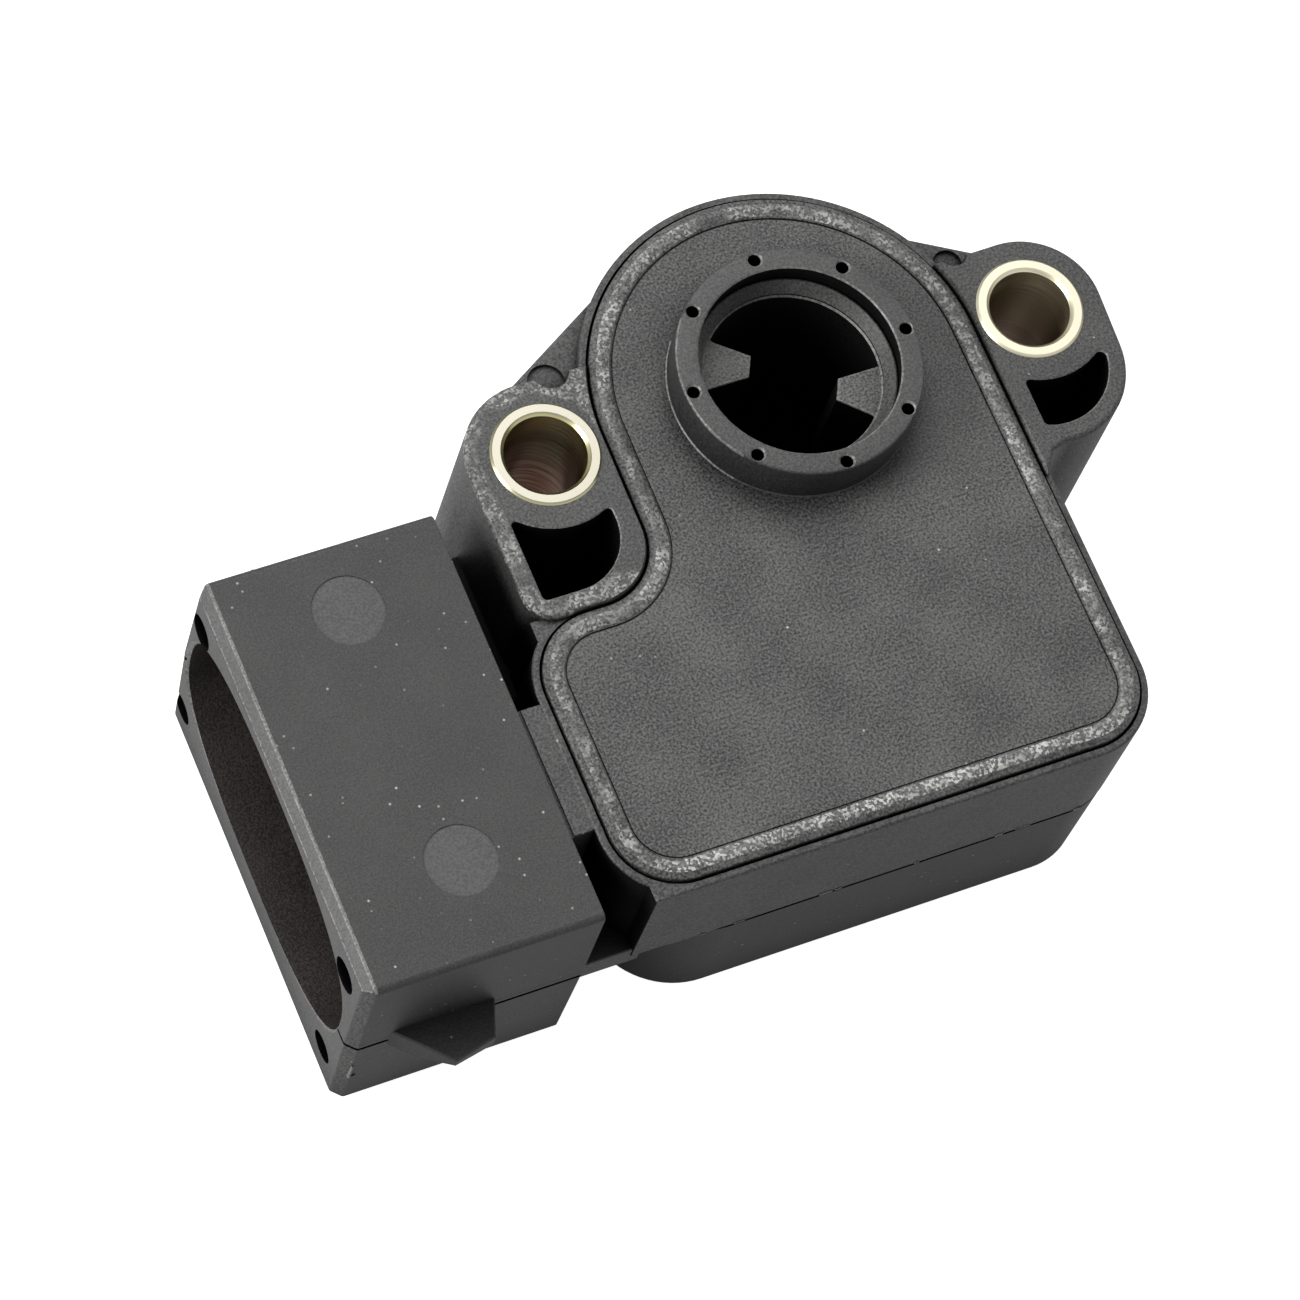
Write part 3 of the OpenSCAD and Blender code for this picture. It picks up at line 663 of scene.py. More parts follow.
@dataclass(frozen=True)
class BodyPlan:
    """Outlines of the body: a round end about the rotor and a square end, with a hollow round the left ear."""

    r: float = 13.4
    right: float = 13.55
    side: float = 23.75
    low_side: float = 20.9
    front: float = 30.05
    notch: float = 10.9
    hollow: float = 4.3
    corner: float = 4.5
    lead: tuple[float, float] = (0.1, 0.22)  # how far the round end stands off the rotor's axis

    def outline(self, side: float, corner: float, sweep: float) -> list[Arc]:
        """Draws the body from how far its left side stands, its left corners, and the turn of the hollow."""
        in_x, front_y = corner - side, corner - self.front
        return [Arc(*self.lead, self.r, 0, 180),
                Arc(-self.r - self.hollow, self.hollow - self.notch, self.hollow, 0, -sweep),
                Arc(in_x, -self.notch - corner, corner, 90, 180), Arc(in_x, front_y, corner, 180, 270),
                Arc(self.right - self.corner, self.corner - self.front, self.corner, 270, 360)]

    def cover(self) -> list[Arc]:
        """Returns the cover's outline."""
        return self.outline(self.side, self.corner, 90)

    def low_half(self) -> list[Arc]:
        """Returns the outline of the body's lower half, whose left side stands in."""
        return self.outline(self.low_side, self.corner + 1, 60)


PLAN = BodyPlan()
PARTING = -10.2  # level at which the mould's halves meet
OVERLAP = 0.5  # how far a lower half reaches into the upper one


@dataclass
class Housing:
    """The body, its two ears and webs, the neck and the plug socket, moulded as one piece."""

    ledge: float = 0.56
    ledge_top: float = -0.75
    neck_top: float = -0.85
    base: float = -20.4
    seam: float = 0.42
    ear_top: float = -0.15
    ear_foot: float = -15.85
    web_top: float = -1.7
    ear_r: tuple[float, float] = (5.3, 5.15)
    bush_r: float = 3.65
    mouth_x: float = -41.95
    rear_x: float = -25.85
    socket_y: float = -15.95
    socket_half: float = 14.7
    socket_top: float = -0.8
    socket_base: float = -19.8
    chamfer: float = 0.67
    pivot_r: float = 2.46
    cavity_half: tuple[float, float] = (13.4, 7.4)
    cavity_power: float = 2.6  # 2 would be an ellipse
    cavity_at: tuple[float, float] = (-15.55, -9.65)

    def shell(self) -> Object:
        """Makes the two halves of the body, with the draft that frees them from the mould."""
        draft, rim, foot = 0.03, 0.2, 0.3
        up = self.ledge_top - PARTING
        upper = rise(PLAN.cover(), PARTING, [Step(draft, up - rim), *rounding(rim)], grow=self.ledge + draft)
        depth = PARTING + OVERLAP - self.base
        lower = rise(PLAN.low_half(), PARTING + OVERLAP, [Step(0.06, depth - foot), *rounding(foot)],
                     grow=self.ledge + 0.01, down=True)
        # painted shade: the lower half is dressed darker
        dressed(lower, PAINTED_SHADE_DIM)
        line = rise(PLAN.cover(), PARTING - self.seam, [Step(0, self.seam)], grow=self.ledge + 0.5)
        core = rise(PLAN.cover(), PARTING - 1, [Step(0, 2)], grow=self.ledge - 0.25)
        # painted shade: the parting line's groove is dressed nearly black
        ring = dressed(combine(line, [core], Fit.CUT), PAINTED_SHADE_DEEP)
        return combine(combine(upper, [lower], Fit.ADD), [ring], Fit.CUT)

    def ears(self) -> list[Object]:
        """Makes the ears, whose tops have a rounded rim."""
        x, (left_r, right_r) = BUSH_X, self.ear_r
        left = [Arc(-12.0, left_r), Arc(-x, 0, left_r, 90, 180), Arc(2 - x - left_r, 2 - PLAN.notch, 2, 180, 270),
                Arc(-12.0, -PLAN.notch)]
        right = [Arc(12.4, -12.1), Arc(13.9, -11.4), Arc(14.8, -10.1), Arc(16.6, -3.9, 5.8, -97, -3.65),
                 Arc(x, 0, right_r, -3.65, 90), Arc(12.4, right_r)]
        depth = self.ear_top - self.ear_foot
        # the left ear's top and rim take the frost with painted glints, the right ear's the plain skin
        return [rise(arcs, self.ear_foot, [Step(0.1, depth - 0.35), *rounding(0.35, finish)], grow=0.1, top=finish)
                for arcs, finish in ((left, FROST), (right, SKIN))]

    def webs(self) -> list[Object]:
        """Makes the webs that join the ears to the round end."""
        made = []
        for side, ear_r, inset in zip((-1, 1), self.ear_r, (0.35, 0.9)):
            r, body = ear_r - inset, PLAN.r + self.ledge - inset
            tilt = math.acos((body - r) / BUSH_X)
            n = Vector((side * math.cos(tilt), math.sin(tilt)))
            x = side * BUSH_X
            corners = [Arc(side * 6.0, 0), Arc(x, 0), Arc(x + r * n.x, r * n.y), Arc(body * n.x, body * n.y)]
            if side < 0:
                corners.reverse()
            made.append(rise(corners, self.ear_foot, [Step(0, self.web_top - 0.2 - self.ear_foot), *rounding(0.2)]))
        return made

    def socket_half_block(self, level: float, tilt: float) -> Object:
        """Makes one mould half of the socket block, from the parting line to its top or base.

        Args:
            level: Level of the top or base.
            tilt: How far the mouth leans in there.

        Returns:
            The half as a loose form.
        """
        up = level > PARTING
        inner = PARTING if up else PARTING + OVERLAP
        bm = cube((self.mouth_x, self.socket_y - self.socket_half, min(inner, level)),
                  (self.rear_x, self.socket_y + self.socket_half, max(inner, level)))
        draft, near = 0.12, 0.01

        def far(v: BMVert) -> bool:
            """Tells whether a point lies in the top or base."""
            return abs(v.co.z - level) < near

        ends = [v for v in bm.verts if far(v)]
        for side in (-1, 1):
            bmesh.ops.translate(bm, vec=(0, -side * draft, 0),
                                verts=[v for v in ends if (v.co.y - self.socket_y) * side > 0])
        bmesh.ops.translate(bm, vec=(tilt, 0, 0), verts=[v for v in ends if v.co.x < self.rear_x - 1])
        mouth = [e for e in bm.edges if all(v.co.x < self.rear_x - 1 for v in e.verts)
                 and any(map(far, e.verts)) and (up or not all(map(far, e.verts)))]
        chamfer = bevel(bm, mouth, self.chamfer, 1)
        # painted highlight: the mouth face and the mouth chamfer's upper faces take the paler finish
        for face in bm.faces:
            face.normal_update()
            face.material_index = PALE if face.normal.x < -0.9 else SATIN
        for face in chamfer:
            face.material_index = PALE if face.normal.z > 0.5 else SKIN
        long = [e for e in bm.edges if up and all(map(far, e.verts)) and abs(e.verts[0].co.x - e.verts[1].co.x) > 5]
        bevel(bm, long, 0.45, 4)
        sharp = [e for e in bm.edges if e.calc_face_angle(0.0) > math.radians(30)
                 and any(abs(v.co.z - inner) > near for v in e.verts)]
        # painted highlight on the rounded edges that look up and to the left
        for face in bevel(bm, sharp, 0.12, 2):
            face.normal_update()
            if face.normal.x < -0.15 and face.normal.z > 0.3:
                face.material_index = PAINTED_HIGHLIGHT
        return keep(bm, "form")

    def socket(self) -> Object:
        """Makes the socket block, with its chamfered mouth and the parting line round it."""
        block = combine(self.socket_half_block(self.socket_top, 0.0),
                        [self.socket_half_block(self.socket_base, 0.35)], Fit.ADD)
        y, half, c, inset = self.socket_y, self.socket_half - 0.1, self.chamfer, 0.1
        core = rise([Arc(self.mouth_x + inset, y + half - c), Arc(self.mouth_x + inset, y - half + c),
                     Arc(self.mouth_x + inset + c, y - half), Arc(self.rear_x, y - half),
                     Arc(self.rear_x, y + half), Arc(self.mouth_x + inset + c, y + half)],
                    PARTING - 1, [Step(0, 2)])
        ring = box((self.mouth_x - 1, y - half - 1, PARTING - self.seam), (self.rear_x - 0.1, y + half + 1, PARTING))
        # painted shade: the groove round the mouth is dressed nearly black
        return combine(block, [dressed(combine(ring, [core], Fit.CUT), PAINTED_SHADE_DEEP)], Fit.CUT)

    def latch(self, side: int) -> Object:
        """Makes the ramp that holds the plug, on the front wall for side -1 and on the back one for side 1."""
        wall = self.socket_y + side * (self.socket_half - 0.35)
        path = [(2.5, 0.0), (10.0, 0.0), (8.95, 2.8), (6.0, 3.5)]
        corners = [Arc(self.mouth_x + x, wall + side * y) for x, y in path]
        if side < 0:
            corners.reverse()
        high, low = -9.1, -11.3
        ramp = rise(corners, low, [Step(0, high - low - 0.15), *rounding(0.15)])
        bm = bmesh.new()
        bm.from_mesh(ramp.data)
        cut_at = (0.0, wall + side * 1.7, low)
        slope = Vector((0.0, side * 0.75, -0.95)).normalized()
        bmesh.ops.bisect_plane(bm, geom=bm.verts[:] + bm.edges[:] + bm.faces[:], plane_co=cut_at, plane_no=slope,
                               clear_outer=True)
        bpy.data.meshes.remove(ramp.data)
        # painted shade: the ramp is dressed darker
        return dressed(keep(bm, "form"), PAINTED_SHADE_DIM)

    def joints(self) -> list[Object]:
        """Makes what joins the socket to the body, and the square end of the front wall."""
        rear, front, half = self.rear_x - 0.5, -PLAN.front - self.ledge, self.socket_half - 0.15
        return [box((rear, -24.8, PARTING - 0.3), (2 - PLAN.side, -15.8, self.neck_top), 0.1),
                box((rear, self.socket_y - half, -11.3), (2 - PLAN.side, self.socket_y + half, -9.1), 0.12),
                box((rear, -24.9, -19.3), (4.2 - PLAN.side, -5.0, PARTING + 0.3), 0.15),
                box((-22.5, front + 0.02, PARTING), (-18.0, front + 1.6, self.ledge_top - 0.02), 0.12),
                box((-22.8, -11.85, PARTING - 0.2), (-17.5, -10.4, self.ledge_top - 0.03), 0.1)]

    def flash(self) -> list[Object]:
        """Makes slivers of flash that stand out of the parting line on the front wall and beside the mouth."""
        front = -PLAN.front - self.ledge
        made = [box((x, front - 0.07, PARTING - high), (x + length, front + 0.3, PARTING + high))
                for x, length, high in ((-17.6, 0.35, 0.09), (-15.2, 0.8, 0.08), (-9.1, 0.9, 0.14), (-8.0, 0.5, 0.1),
                                        (-2.3, 0.4, 0.09), (3.6, 0.6, 0.14), (5.1, 1.1, 0.08), (9.4, 0.5, 0.12))]
        corner = self.socket_y - self.socket_half
        made += [box((self.mouth_x + 0.75, corner - 0.04, -15.6), (self.mouth_x + 0.87, corner + 0.3, -13.6)),
                 box((self.mouth_x + 0.79, corner - 0.03, -15.57), (self.mouth_x + 1.25, corner + 0.28, -15.45))]
        # the slivers carry a painted highlight
        return [dressed(sliver, PAINTED_HIGHLIGHT) for sliver in made]

    def posts(self) -> list[Object]:
        """Makes the rotor's stops, the spring's slotted post and the pivot's boss, which the cover hides."""
        pivot = self.pivot_r
        made = [turned([(pivot, -19.3), (4.0, -19.3), (4.0, -14.1), (pivot, -14.1)])]
        for angle, half, r0, low, high in ((167.0, 5.0, 10.7, -16.2, -12.7), (48.0, 5.0, 10.7, -16.2, -12.7),
                                           (SPRING_AT, 9.0, 10.3, -11.48, -8.28)):
            ends = (angle - half, angle + half)
            arcs = [Arc(0, 0, 12.5, *ends), Arc(0, 0, r0, *reversed(ends))]
            made.append(rise(arcs, low, [Step(0, high - low)]))
        slot = box((8.8, -0.45, -10.48), (11.65, 0.45, -9.28), turn=SPRING_AT)
        return [*made[:-1], combine(made[-1], [slot], Fit.CUT)]

    def chamber(self) -> list[Object]:
        """Makes the forms that cut the cover's recess and the chamber below it."""
        inner, room = -1.55, replace(PLAN, low_side=21.5)
        # the ears' edges along the cover slope for the last 0.27 mm, with a painted highlight
        recess = rise(PLAN.cover(), self.ear_top + 0.5, [Step(0, 0.47), Step(0.15, 0.3, PAINTED_HIGHLIGHT), Step(0, 2.33)],
                      down=True, grow=0.24)
        return [recess,
                rise(PLAN.cover(), -10.7, [Step(0, 8)], grow=inner),
                rise(room.low_half(), -17.5, [Step(0, 7.05)], grow=inner),
                rise(room.low_half(), -18.8, [Step(0, 2.3)], grow=inner - 1.2)]

    def cavity(self) -> list[Object]:
        """Makes the forms that cut the plug's cavity and the four core holes."""
        bm = bmesh.new()
        bmesh.ops.create_circle(bm, cap_ends=True, radius=1.0, segments=96)
        for v in bm.verts:
            v.co = Vector([math.copysign(abs(c) ** (2 / self.cavity_power), c) for c in v.co])
        bmesh.ops.scale(bm, vec=(*self.cavity_half, 1.0), verts=bm.verts)
        face = look_up(bm.faces[:][0])
        proud = 0.75  # how far the form stands out of the mouth
        # a painted highlight on the chamfer at the cavity's mouth
        carry(bm, face, [Step(0, proud, CAVITY), Step(0.25, 0.25, PAINTED_HIGHLIGHT), Step(0.15, 11.2, CAVITY),
                         Step(0.4, 0.4, CAVITY)])
        face.material_index = CAVITY
        stand = Matrix.Rotation(math.radians(90), 4, "Z") @ Matrix.Rotation(math.radians(90), 4, "X")
        bmesh.ops.transform(bm, matrix=Matrix.Translation((self.mouth_x - proud, *self.cavity_at)) @ stand,
                            verts=bm.verts)
        made = [keep(bm, "form")]
        for y, z in ((-27.8, -3.8), (-27.8, -16.7), (-3.25, -4.1), (-2.9, -17.0)):
            hole = turned([(0, 0), (1.25, 0), (1.25, 1.05), (1.15, 1.2), (1.0, 10), (0, 10)],
                          (self.mouth_x - 1.0, y, z), 32, Matrix.Rotation(math.radians(90), 4, "Y"))
            # painted shade in the core holes
            made.append(dressed(hole, PAINTED_SHADE_DEEP))
        return made

    def pockets(self) -> list[Object]:
        """Makes the forms that cut the lightening pockets beside the bushes."""
        wall_r = self.bush_r + 1.6
        left = [Arc(-21.15, -9.15, 0.4, 180, 270), Arc(-18.9, -5.55, 4.0, 270, 360),
                Arc(-15.2, -5.051, 0.3, 0, 114.48), Arc(-BUSH_X, 0, wall_r, 294.48, 227.49),
                Arc(-21.25, -4.091, 0.3, 47.49, 180)]
        right = [Arc(15.35, -7.857, 0.4, 180, 252.47), Arc(16.6, -3.9, 4.55, 252.47, 347.6),
                 Arc(20.604, -4.78, 0.45, 347.6, 483.0), Arc(BUSH_X, 0, wall_r, 303.0, 246.08),
                 Arc(15.25, -5.073, 0.3, 66.08, 180)]
        # a small chamfer with a painted highlight leads into walls that lean in by 0.2 mm, with painted shade
        steps = [Step(0, 0.47), Step(0.11, 0.11), Step(0.2, 13.7)]
        return [dressed(rise(arcs, self.ear_top + 0.5, steps, down=True, grow=0.11), PAINTED_SHADE_DEEP, PAINTED_HIGHLIGHT)
                for arcs in (left, right)]

    def build(self, finishes: Sequence[Material]) -> None:
        """Puts the housing together. Here PALE is the finish of the marks that the ejectors leave, painted lighter as
        sheen, and of the socket's mouth face and upper chamfer, painted lighter as highlight.

        Args:
            finishes: Its materials, by finish number.
        """
        body = self.shell()
        outside = [*self.ears(), *self.webs(), *self.joints(), self.socket(), self.latch(-1), self.latch(1)]
        body = combine(body, [*outside, *self.flash()], Fit.ADD)
        body = combine(body, self.chamber(), Fit.CUT)
        body = combine(body, self.posts(), Fit.ADD)
        cuts = [*self.cavity(), *self.pockets(), pin(0, 0, -18.8, -14.0, self.pivot_r)]
        cuts += [pin(side * BUSH_X, 0, -17, 1, self.bush_r, parts=96) for side in (-1, 1)]
        cuts += [pin(-14.95, 5.45, -1.95, 0.0, 1.25), pin(14.2, 5.4, -2.0, 0.0, 1.0)]
        cuts.append(box((self.rear_x - 0.02, -24.9, self.neck_top - 0.16), (self.rear_x + 0.2, -15.7, 1.0)))
        # the ejectors' marks: floors painted lighter as sheen, walls painted highlight
        cuts += [dressed(pin(self.mouth_x + x, y, self.socket_top - 0.07, 0.0, 2.4, parts=96), PAINTED_HIGHLIGHT, PALE, 0.5, 2.0)
                 for x, y in ((8.5, -6.0), (8.9, -24.0))]
        body = combine(body, cuts, Fit.CUT)
        # painted shade in the two recesses beside the neck: walls nearly black, floors dim
        for side in body.data.polygons:
            at = side.center
            beside = -30.7 < at.y < -24.7 or -15.9 < at.y < -10.4
            if beside and -26.0 < at.x < -17.0 and PARTING < at.z < self.neck_top - 0.1:
                if side.normal.x < -0.3:
                    side.material_index = PAINTED_SHADE_DEEP
                elif side.normal.z > 0.5:
                    side.material_index = PAINTED_SHADE_DIM
        finish_piece(body, "housing_moulding", "sensor_body", ["housing"], finishes)


@dataclass
class Cover:
    """The moulded cover with its frosted rim and the collar that centres the sensor."""

    foot: float = -2.75
    rim_top: float = -0.3
    field_top: float = -0.5
    rim_half: float = 0.66
    crown: float = 0.16
    edge: float = 0.1
    collar_r: float = 8.2
    bore_r: float = 6.85
    collar_top: float = 2.78
    holes: int = 8
    hole_r: float = 0.43

    def build(self, finishes: Sequence[Material]) -> None:
        """Makes the cover. Here CAVITY is the finish of the collar's top, painted lighter as sheen, and SATIN that of
        its walls, painted darker as shade.

        Args:
            finishes: Its materials, by finish number.
        """
        # the rim's top is a low parabola, frosted with painted glints but for its flanks
        parts = 12
        at = [2 * i / parts - 1 for i in range(parts + 1)]
        rim = [Step(self.rim_half * (b - a), self.crown * (a * a - b * b), FROST if -0.5 < (a + b) / 2 < 0.9 else PALE)
               for a, b in zip(at, at[1:])]
        low = self.rim_top - self.crown
        steps = [Step(0, low - self.edge - self.foot), *rounding(self.edge, PALE), *rim,
                 Step(0.03, self.field_top - 0.09 - low), Step(0.06, 0.0), Step(0.03, 0.09)]
        plate = rise(PLAN.cover(), self.foot, steps, grow=-0.09)
        lip = self.bore_r - 0.15
        collar = turned([(self.bore_r - 0.5, self.foot), (self.collar_r + 0.5, self.foot),
                         (self.collar_r + 0.5, self.field_top - 0.1), (self.collar_r + 0.08, self.field_top),
                         (self.collar_r, self.field_top + 0.08), (self.collar_r, self.collar_top),
                         (self.bore_r - 0.5, self.collar_top)], parts=128, rounds={5: 0.2})
        # painted sheen on the collar's top; painted shade on its walls, and painted highlight on the faces that look
        # up and to the left
        for side in dressed(collar, CAVITY).data.polygons:
            if side.normal.z < 0.95:
                lit = side.normal.z >= 0.2 and side.normal.x < -0.78 * side.normal.xy.length
                side.material_index = PAINTED_HIGHLIGHT if lit else SATIN
        bore = turned([(0, -4), (self.bore_r, -4), (self.bore_r, self.collar_top - 0.8),
                       (lip, self.collar_top - 0.7), (lip, self.collar_top - 0.1),
                       (lip + 0.1, self.collar_top), (lip + 0.1, 4), (0, 4)], parts=128)
        # painted shade in the bore and on its lower steps, painted highlight on its top chamfer
        for side in dressed(bore, PAINTED_SHADE_DEEP).data.polygons:
            if 0.2 < abs(side.normal.z) < 0.95:
                side.material_index = PAINTED_HIGHLIGHT if side.center.z > self.collar_top - 0.2 else SATIN
        ring_r = (self.bore_r + self.collar_r) / 2 + 0.1
        turns = [2 * math.pi * i / self.holes for i in range(self.holes)]
        # painted shade in the holes, painted highlight on their chamfers
        holes = [dressed(pin(ring_r * math.cos(turn), ring_r * math.sin(turn), -3.5, self.collar_top, self.hole_r,
                             0.12, 24), PAINTED_SHADE_DEEP, PAINTED_HIGHLIGHT) for turn in turns]
        cover = combine(plate, [collar], Fit.ADD)
        cover = combine(cover, [bore, *holes], Fit.CUT)
        finish_piece(cover, "cover_moulding", "sensor_body", ["cover"], finishes)


@dataclass
class Rotor:
    """The open drive hub with its two lugs, the spring's flange and the disc that carries the wiper."""

    bore_r: float = 5.9
    journal_r: float = 6.79
    pivot_r: float = 2.4
    disc_r: float = 10.2
    waist_r: float = 6.99
    flange_r: float = 10.6
    levels: tuple[float, ...] = (-17.4, -14.9, -13.7, -5.25, -3.25)  # foot, disc and flange
    bore_foot: float = -13.4
    edge: float = 0.12
    top: float = 0.3
    ring_top: float = 1.2
    spring_turns: float = 3.75

    def lug(self, turn: float, short: float) -> Object:
        """Makes one driving lug.

        Args:
            turn: Angle about the axis, in degrees.
            short: How far its tip stands back.

        Returns:
            The lug as a loose form.
        """
        out_at = math.radians(-45.4)
        arcs = [Arc(2.7 + short, -0.93), Arc(1.96 + short, -2.33),
                Arc(5.69 * math.cos(out_at), 5.69 * math.sin(out_at)),
                Arc(0, 0, self.bore_r + 0.35, -47.4, -8.4)]
        root = self.bore_foot - 0.5
        # painted shade on the lug's sides, painted highlight on its rounded top edge
        return rise(arcs, root, [Step(0, self.top - 0.15 - self.edge - root, PAINTED_SHADE_DEEP), *rounding(self.edge, PAINTED_HIGHLIGHT)],
                    top=FROST, turn=Matrix.Rotation(math.radians(turn), 4, "Z"))

    def build(self, finishes: Sequence[Material]) -> None:
        """Makes the rotor. Here FROST is the finish of the lugs' tops.

        Args:
            finishes: Its materials, by finish number.
        """
        foot, disc_low, disc_top, flange_low, flange_top = self.levels
        profile = [(0, foot), (self.pivot_r, foot), (self.pivot_r, disc_low), (self.disc_r, disc_low),
                   (self.disc_r, disc_top), (self.waist_r, disc_top), (self.waist_r, flange_low),
                   (self.flange_r, flange_low), (self.flange_r, flange_top), (self.journal_r, flange_top),
                   (self.journal_r, self.ring_top), (self.journal_r - 0.15, self.ring_top),
                   (self.bore_r, self.top), (0, self.top)]
        hub = turned(profile, parts=128, rounds={10: 0.08})
        bore = turned([(0, self.bore_foot), (self.bore_r, self.bore_foot), (self.bore_r, self.top - self.edge),
                       (self.bore_r + self.edge, self.top), (self.bore_r + self.edge, 2), (0, 2)], parts=128)
        stop = rise([Arc(0, 0, 11.3, 149, 161), Arc(0, 0, 9.2, 161, 149)], disc_low, [Step(0, disc_top - disc_low)])
        turn = math.radians(SPRING_AT + self.spring_turns * 360)
        anchor = pin(8.8 * math.cos(turn), 8.8 * math.sin(turn), -6.25, -2.0, 0.5, parts=32)
        # painted shade in the bore, painted highlight on its chamfer
        hub = combine(hub, [dressed(bore, PAINTED_SHADE_DEEP, PAINTED_HIGHLIGHT)], Fit.CUT)
        hub = combine(hub, [self.lug(0, 0.22), self.lug(180, 0.0), stop], Fit.ADD)
        hub = combine(hub, [anchor], Fit.CUT)
        finish_piece(hub, "rotor_moulding", "rotor", ["rotor"], finishes)


@dataclass
class Bush:
    """A turned steel bush that carries a screw's clamping load."""

    name: str
    x: float
    length: float = 16.0
    r: float = 3.65
    bore_r: float = 2.75
    marks: int = 87
    mark_depth: float = 0.02

    def build(self, finishes: Sequence[Material]) -> None:
        """Makes the bush, with the turning marks in its bore.

        Args:
            finishes: Its material.
        """
        low, edge, rim = -self.length, 0.22, 0.15
        marks = self.marks + 1
        wall = [(self.bore_r + self.mark_depth * (i % 2), low + edge + (self.length - 2 * edge) * i / marks)
                for i in range(marks)]
        bush = turned([(self.bore_r, -edge), (self.bore_r + edge, 0), (self.r - rim, 0), (self.r, -rim),
                       (self.r, low + edge), (self.r - edge, low), (self.bore_r + edge, low), *wall],
                      (self.x, 0.0, 0.0))
        finish_piece(bush, f"{self.name}_turned", "sensor_body", [self.name], finishes)


# The studio


def seen_share(tree: NodeTree, in_gloss: float) -> Node:
    """Tells the rays that look at a surface from those that light it.

    Args:
        tree: The tree that gets the nodes.
        in_gloss: Share for rays that come off a glossy face.

    Returns:
        1 for a ray from the camera or through glass.
    """
    rays = add(tree, "LightPath").outputs
    clear = add(tree, "Math", operation="MAXIMUM", i0=rays["Is Camera Ray"], i1=rays["Is Transmission Ray"])
    gloss = add(tree, "Math", operation="MULTIPLY", i0=rays["Is Glossy Ray"], i1=in_gloss)
    return add(tree, "Math", operation="MAXIMUM", i0=clear, i1=gloss)


@dataclass
class Studio:
    """The floor, the soft lights and the camera."""

    floor_z: float = -20.45
    film: float = 36.0
    focal_px: float = 5510.08
    photo_px: int = 1300
    eye: tuple[float, float, float] = (-0.124912, -0.126205, 0.311292)  # in metres, as aim is
    view: tuple[tuple[float, float, float], ...] = (
        (0.9062, -0.3833, 0.1786), (0.2858, 0.8664, 0.4094), (-0.3117, -0.3200, 0.8947))  # right, up and back
    aim: tuple[float, float, float] = (-0.01, -0.01, -0.01)

    def camera(self) -> None:
        """Puts the camera where the photograph was taken from."""
        lens = bpy.data.cameras.new("camera")
        lens.sensor_width, lens.lens = self.film, self.focal_px / self.photo_px * self.film
        made = linked("camera", lens)
        made.matrix_world = Matrix.Translation(self.eye) @ Matrix(self.view).transposed().to_4x4()
        bpy.context.scene.camera = made

    def light(self, name: str, at: Sequence[float], size: float, power: float) -> None:
        """Adds a square soft light that looks at the sensor.

        Args:
            name: Its name.
            at: Its place, in metres.
            size: Length of its side, in metres.
            power: Its power, in watts.
        """
        lamp = bpy.data.lights.new(name, "AREA")
        lamp.shape, lamp.size, lamp.energy = "SQUARE", size, power
        made = linked(name, lamp)
        made.location = at
        made.rotation_euler = (Vector(self.aim) - Vector(at)).to_track_quat("-Z", "Y").to_euler()

    def floor(self) -> None:
        """Adds the pale floor, white to the camera, with the sensor's shadow on it."""
        bm = bmesh.new()
        bmesh.ops.create_circle(bm, cap_ends=True, radius=1.2, segments=64)
        bmesh.ops.translate(bm, vec=(0, 0, self.floor_z * MM), verts=bm.verts)
        made = keep(bm, "floor")
        card = Sheet("pale_card")
        seen = seen_share(card.tree, 0.3)
        shade = add(card.tree, "Mix", data_type="RGBA", i0=seen, i6="#b0b0b0", i7="#e6e6e6")
        lift = add(card.tree, "Math", operation="MULTIPLY", i0=seen, i1=0.98)
        both = add(card.tree, "AddShader", i0=add(card.tree, "BsdfDiffuse", Color=shade),
                   i1=add(card.tree, "Emission", Strength=lift))
        add(card.tree, "OutputMaterial", Surface=both)
        made.data.materials.clear()
        made.data.materials.append(card.material)

    def world(self, strength: float) -> None:
        """Lights the scene from all round, and shows white to the camera and in reflections.

        Args:
            strength: Its strength as a light.
        """
        made = bpy.data.worlds.new("studio")
        bpy.context.scene.world = made
        made.use_nodes = True
        tree = made.node_tree
        tree.nodes.clear()
        level = add(tree, "MapRange", Value=seen_share(tree, 1.0), To_Min=strength)
        add(tree, "OutputWorld", Surface=add(tree, "Background", Strength=level))

    def build(self) -> None:
        """Sets up the whole studio."""
        self.camera()
        self.floor()
        self.world(0.08)
        self.light("key", (0.02, 0.4, 0.58), 0.5, 2.1)
        self.light("left", (-0.6, 0.05, 0.3), 0.3, 2.9)
        self.light("right", (0.55, 0.1, 0.3), 0.3, 0.5)
        bpy.context.scene.view_settings.view_transform = "Standard"


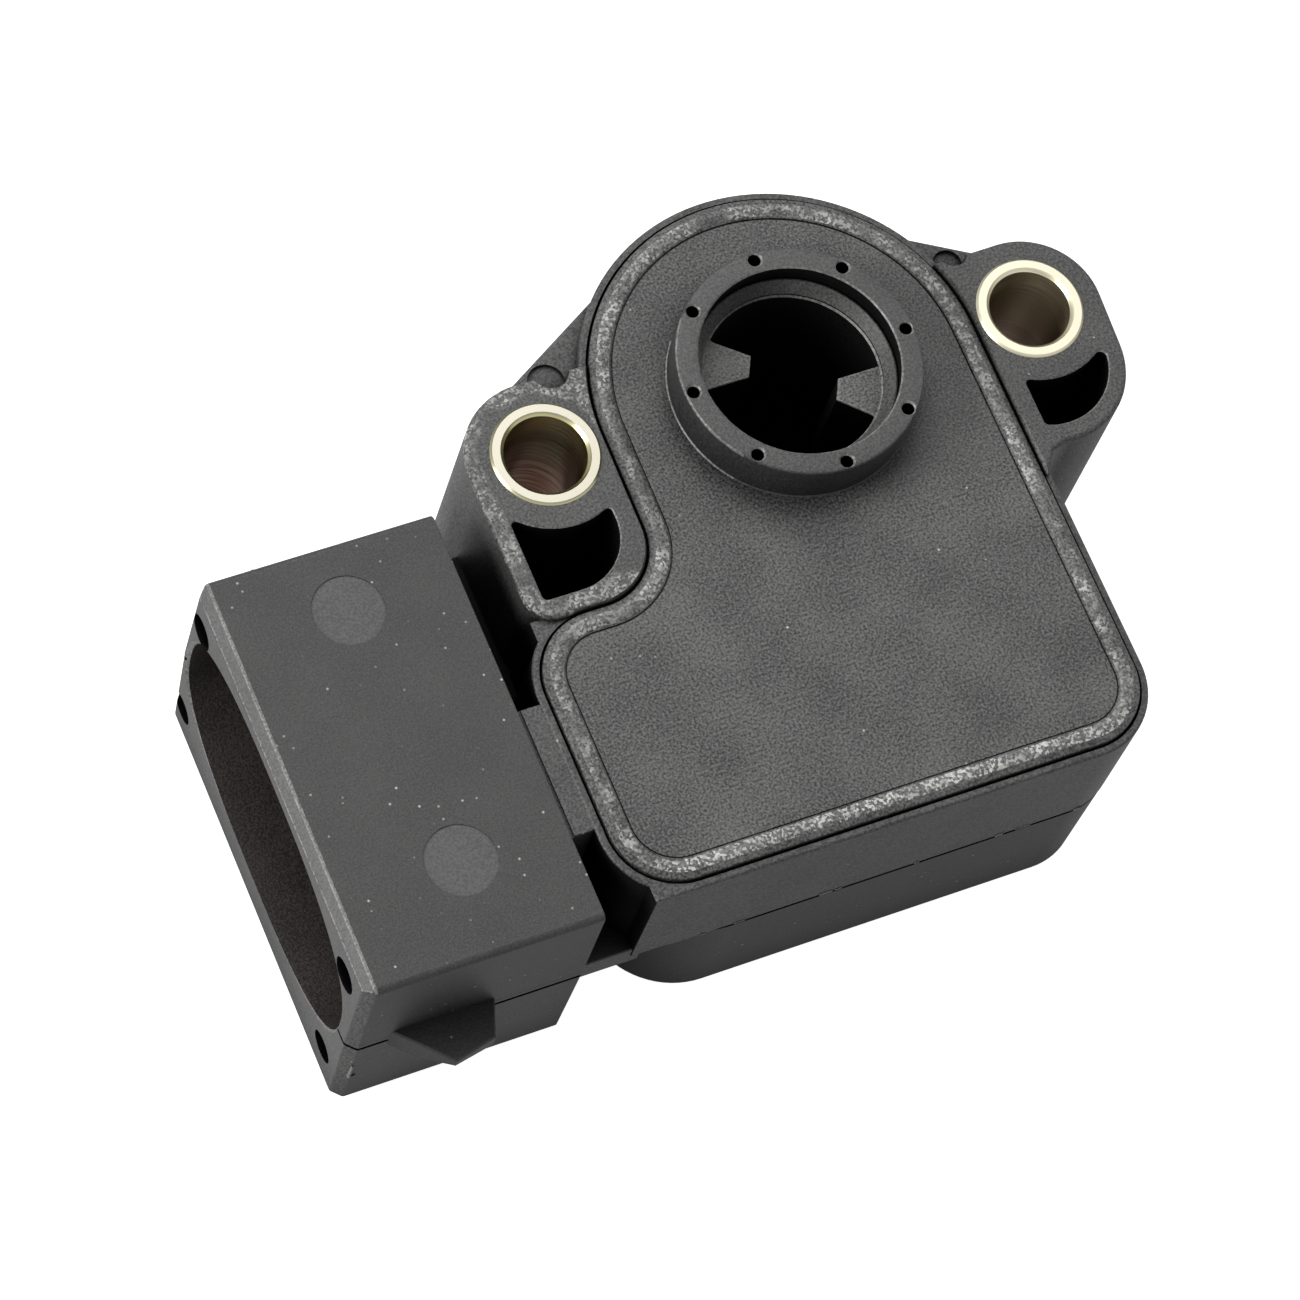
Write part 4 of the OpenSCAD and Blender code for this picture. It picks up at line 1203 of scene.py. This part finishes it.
def dress_sealed() -> None:
    """Gives the CAD nodes that stay the finish of what they are."""
    dressing = {
        Layer("epoxy_sealant", "#14120f", "#2b2621", 0.3, 1.2, 0.05): ("cover_sealant",),
        DrawnMetal("stainless_spring_wire", "#8d8a85", "#c9c6c0", 0.3, 0.05, (1.0, 1.0, 0.15)):
            ("return_spring", "wave_washer"),
        DrawnMetal("nickel_silver_strip", "#a39a86", "#d6cdb8", 0.32, 0.08, (0.08, 1.0, 1.0)):
            ("wiper_plate", "resistor_brush", "collector_brush"),
        Layer("glass_epoxy_laminate", "#5d6a3a", "#7c8a4f", 0.4, 0.5, 0.02): ("element_board",),
        Layer("printed_carbon_ink", "#101011", "#232325", 0.45, 0.06, 0.006): ("resistor_track", "collector_track"),
        Layer("printed_silver_ink", "#8f8f8c", "#c4c4c0", 0.5, 0.08, 0.01, metallic=0.8):
            ("supply_conductor", "ground_conductor", "signal_conductor"),
        DrawnMetal("tinned_brass_strip", "#a9a8a3", "#dad9d3", 0.3, 0.1, (0.06, 1.0, 1.0)):
            ("supply_terminal", "ground_terminal", "signal_terminal"),
    }
    for finish, names in dressing.items():
        material = finish.make()
        for name in names:
            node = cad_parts[name]
            node.data.materials.clear()
            node.data.materials.append(material)
            LOG.info("%s keeps its solid, as %s", name, material.name)


def main() -> None:
    """Builds the sensor and the studio, piece by piece."""
    logging.basicConfig(level=logging.INFO, format="%(name)s: %(message)s")
    Studio().build()
    skin = MouldedNylon("nylon_housing", "#2b2b2b", "#6a6968", dust_share=0.3, grain_depth_mm=0.012).make()
    satin = MouldedNylon("nylon_socket", "#303030", "#504f4e", dust_share=0.6, grain_mm=0.13,
                         grain_depth_mm=0.008).make()
    # painted glints on the left ear's frost, in a band along its outer edge
    ear = MouldedNylon("nylon_frosted_ear_painted_glints", "#2b2b2b", "#6a6968", 0.4, fleck_from=0.42, zone=Zone.LEFT_EAR,
                       grain_depth_mm=0.02).make()
    # painted sheen and highlight: a paler skin for the ejectors' marks and the socket's mouth
    disc = MouldedNylon("nylon_ejector_disc_painted_sheen", "#4d4d4c", "#696868", grain_depth_mm=0.006).make()
    cavity = MouldedNylon("nylon_cavity", "#171413", "#4a4340", grain_mm=0.14).make()
    # painted shade: a nearly black skin for holes, grooves and deep walls
    core = MouldedNylon("nylon_painted_shade_deep", "#0c0c0c", "#191919", 0.9, grain_depth_mm=0.01, sheen=0.1).make()
    # painted shade: a darker skin for the lower half, the latches and the recess floors
    painted_dim = MouldedNylon("nylon_painted_shade_dim", "#161616", "#303030", dust_share=0.5, grain_depth_mm=0.012).make()
    # painted highlight: a paler skin for edges and chamfers
    highlight_finish = MouldedNylon("nylon_painted_highlight", "#5e5d5c", "#a3a2a0", 0.4, shade=0.4, grain_depth_mm=0.015).make()
    Housing().build([skin, ear, disc, cavity, core, highlight_finish, satin, painted_dim])
    field = MouldedNylon("nylon_cover_field", dust_share=0.12).make()
    # painted glints on the rim's frost, lifted at its front and its round end
    rim = MouldedNylon("nylon_frosted_rim_painted_glints", roughness=0.35, fleck_from=0.36, zone=Zone.RIM).make()
    rim_side = MouldedNylon("nylon_rim_side", grain_depth_mm=0.015).make()
    # the collar's top, on a smoother skin painted lighter as sheen
    collar = MouldedNylon("nylon_collar", "#403f3f", "#666564", grain_depth_mm=0.006).make()
    # the collar's walls, painted darker as shade
    collar_wall = MouldedNylon("nylon_collar_wall_painted_shade", "#2a2a2a", "#4f4f4f", grain_depth_mm=0.006).make()
    Cover().build([field, rim, rim_side, collar, core, highlight_finish, collar_wall])
    hub = MouldedNylon("nylon_rotor", "#373736", "#6a6968", grain_depth_mm=0.006, shade=0.6).make()
    lug = MouldedNylon("nylon_lug", "#3a3a39", "#8f8e8c", shade=0.4).make()
    Rotor().build([hub, lug, disc, cavity, core, highlight_finish])
    Bush("left_bush", -BUSH_X).build([PassivatedSteel("zinc_steel").make()])
    # painted light: the right bush gets a lighter copy of the plated steel than the left one
    painted_lit_steel = PassivatedSteel("zinc_steel_painted_light", "#dcd6bf", "#e4dfc4", "#b9b397", "#8c7466", roughness=0.36)
    Bush("right_bush", BUSH_X).build([painted_lit_steel.make()])
    dress_sealed()


if __name__ == "__main__":
    main()
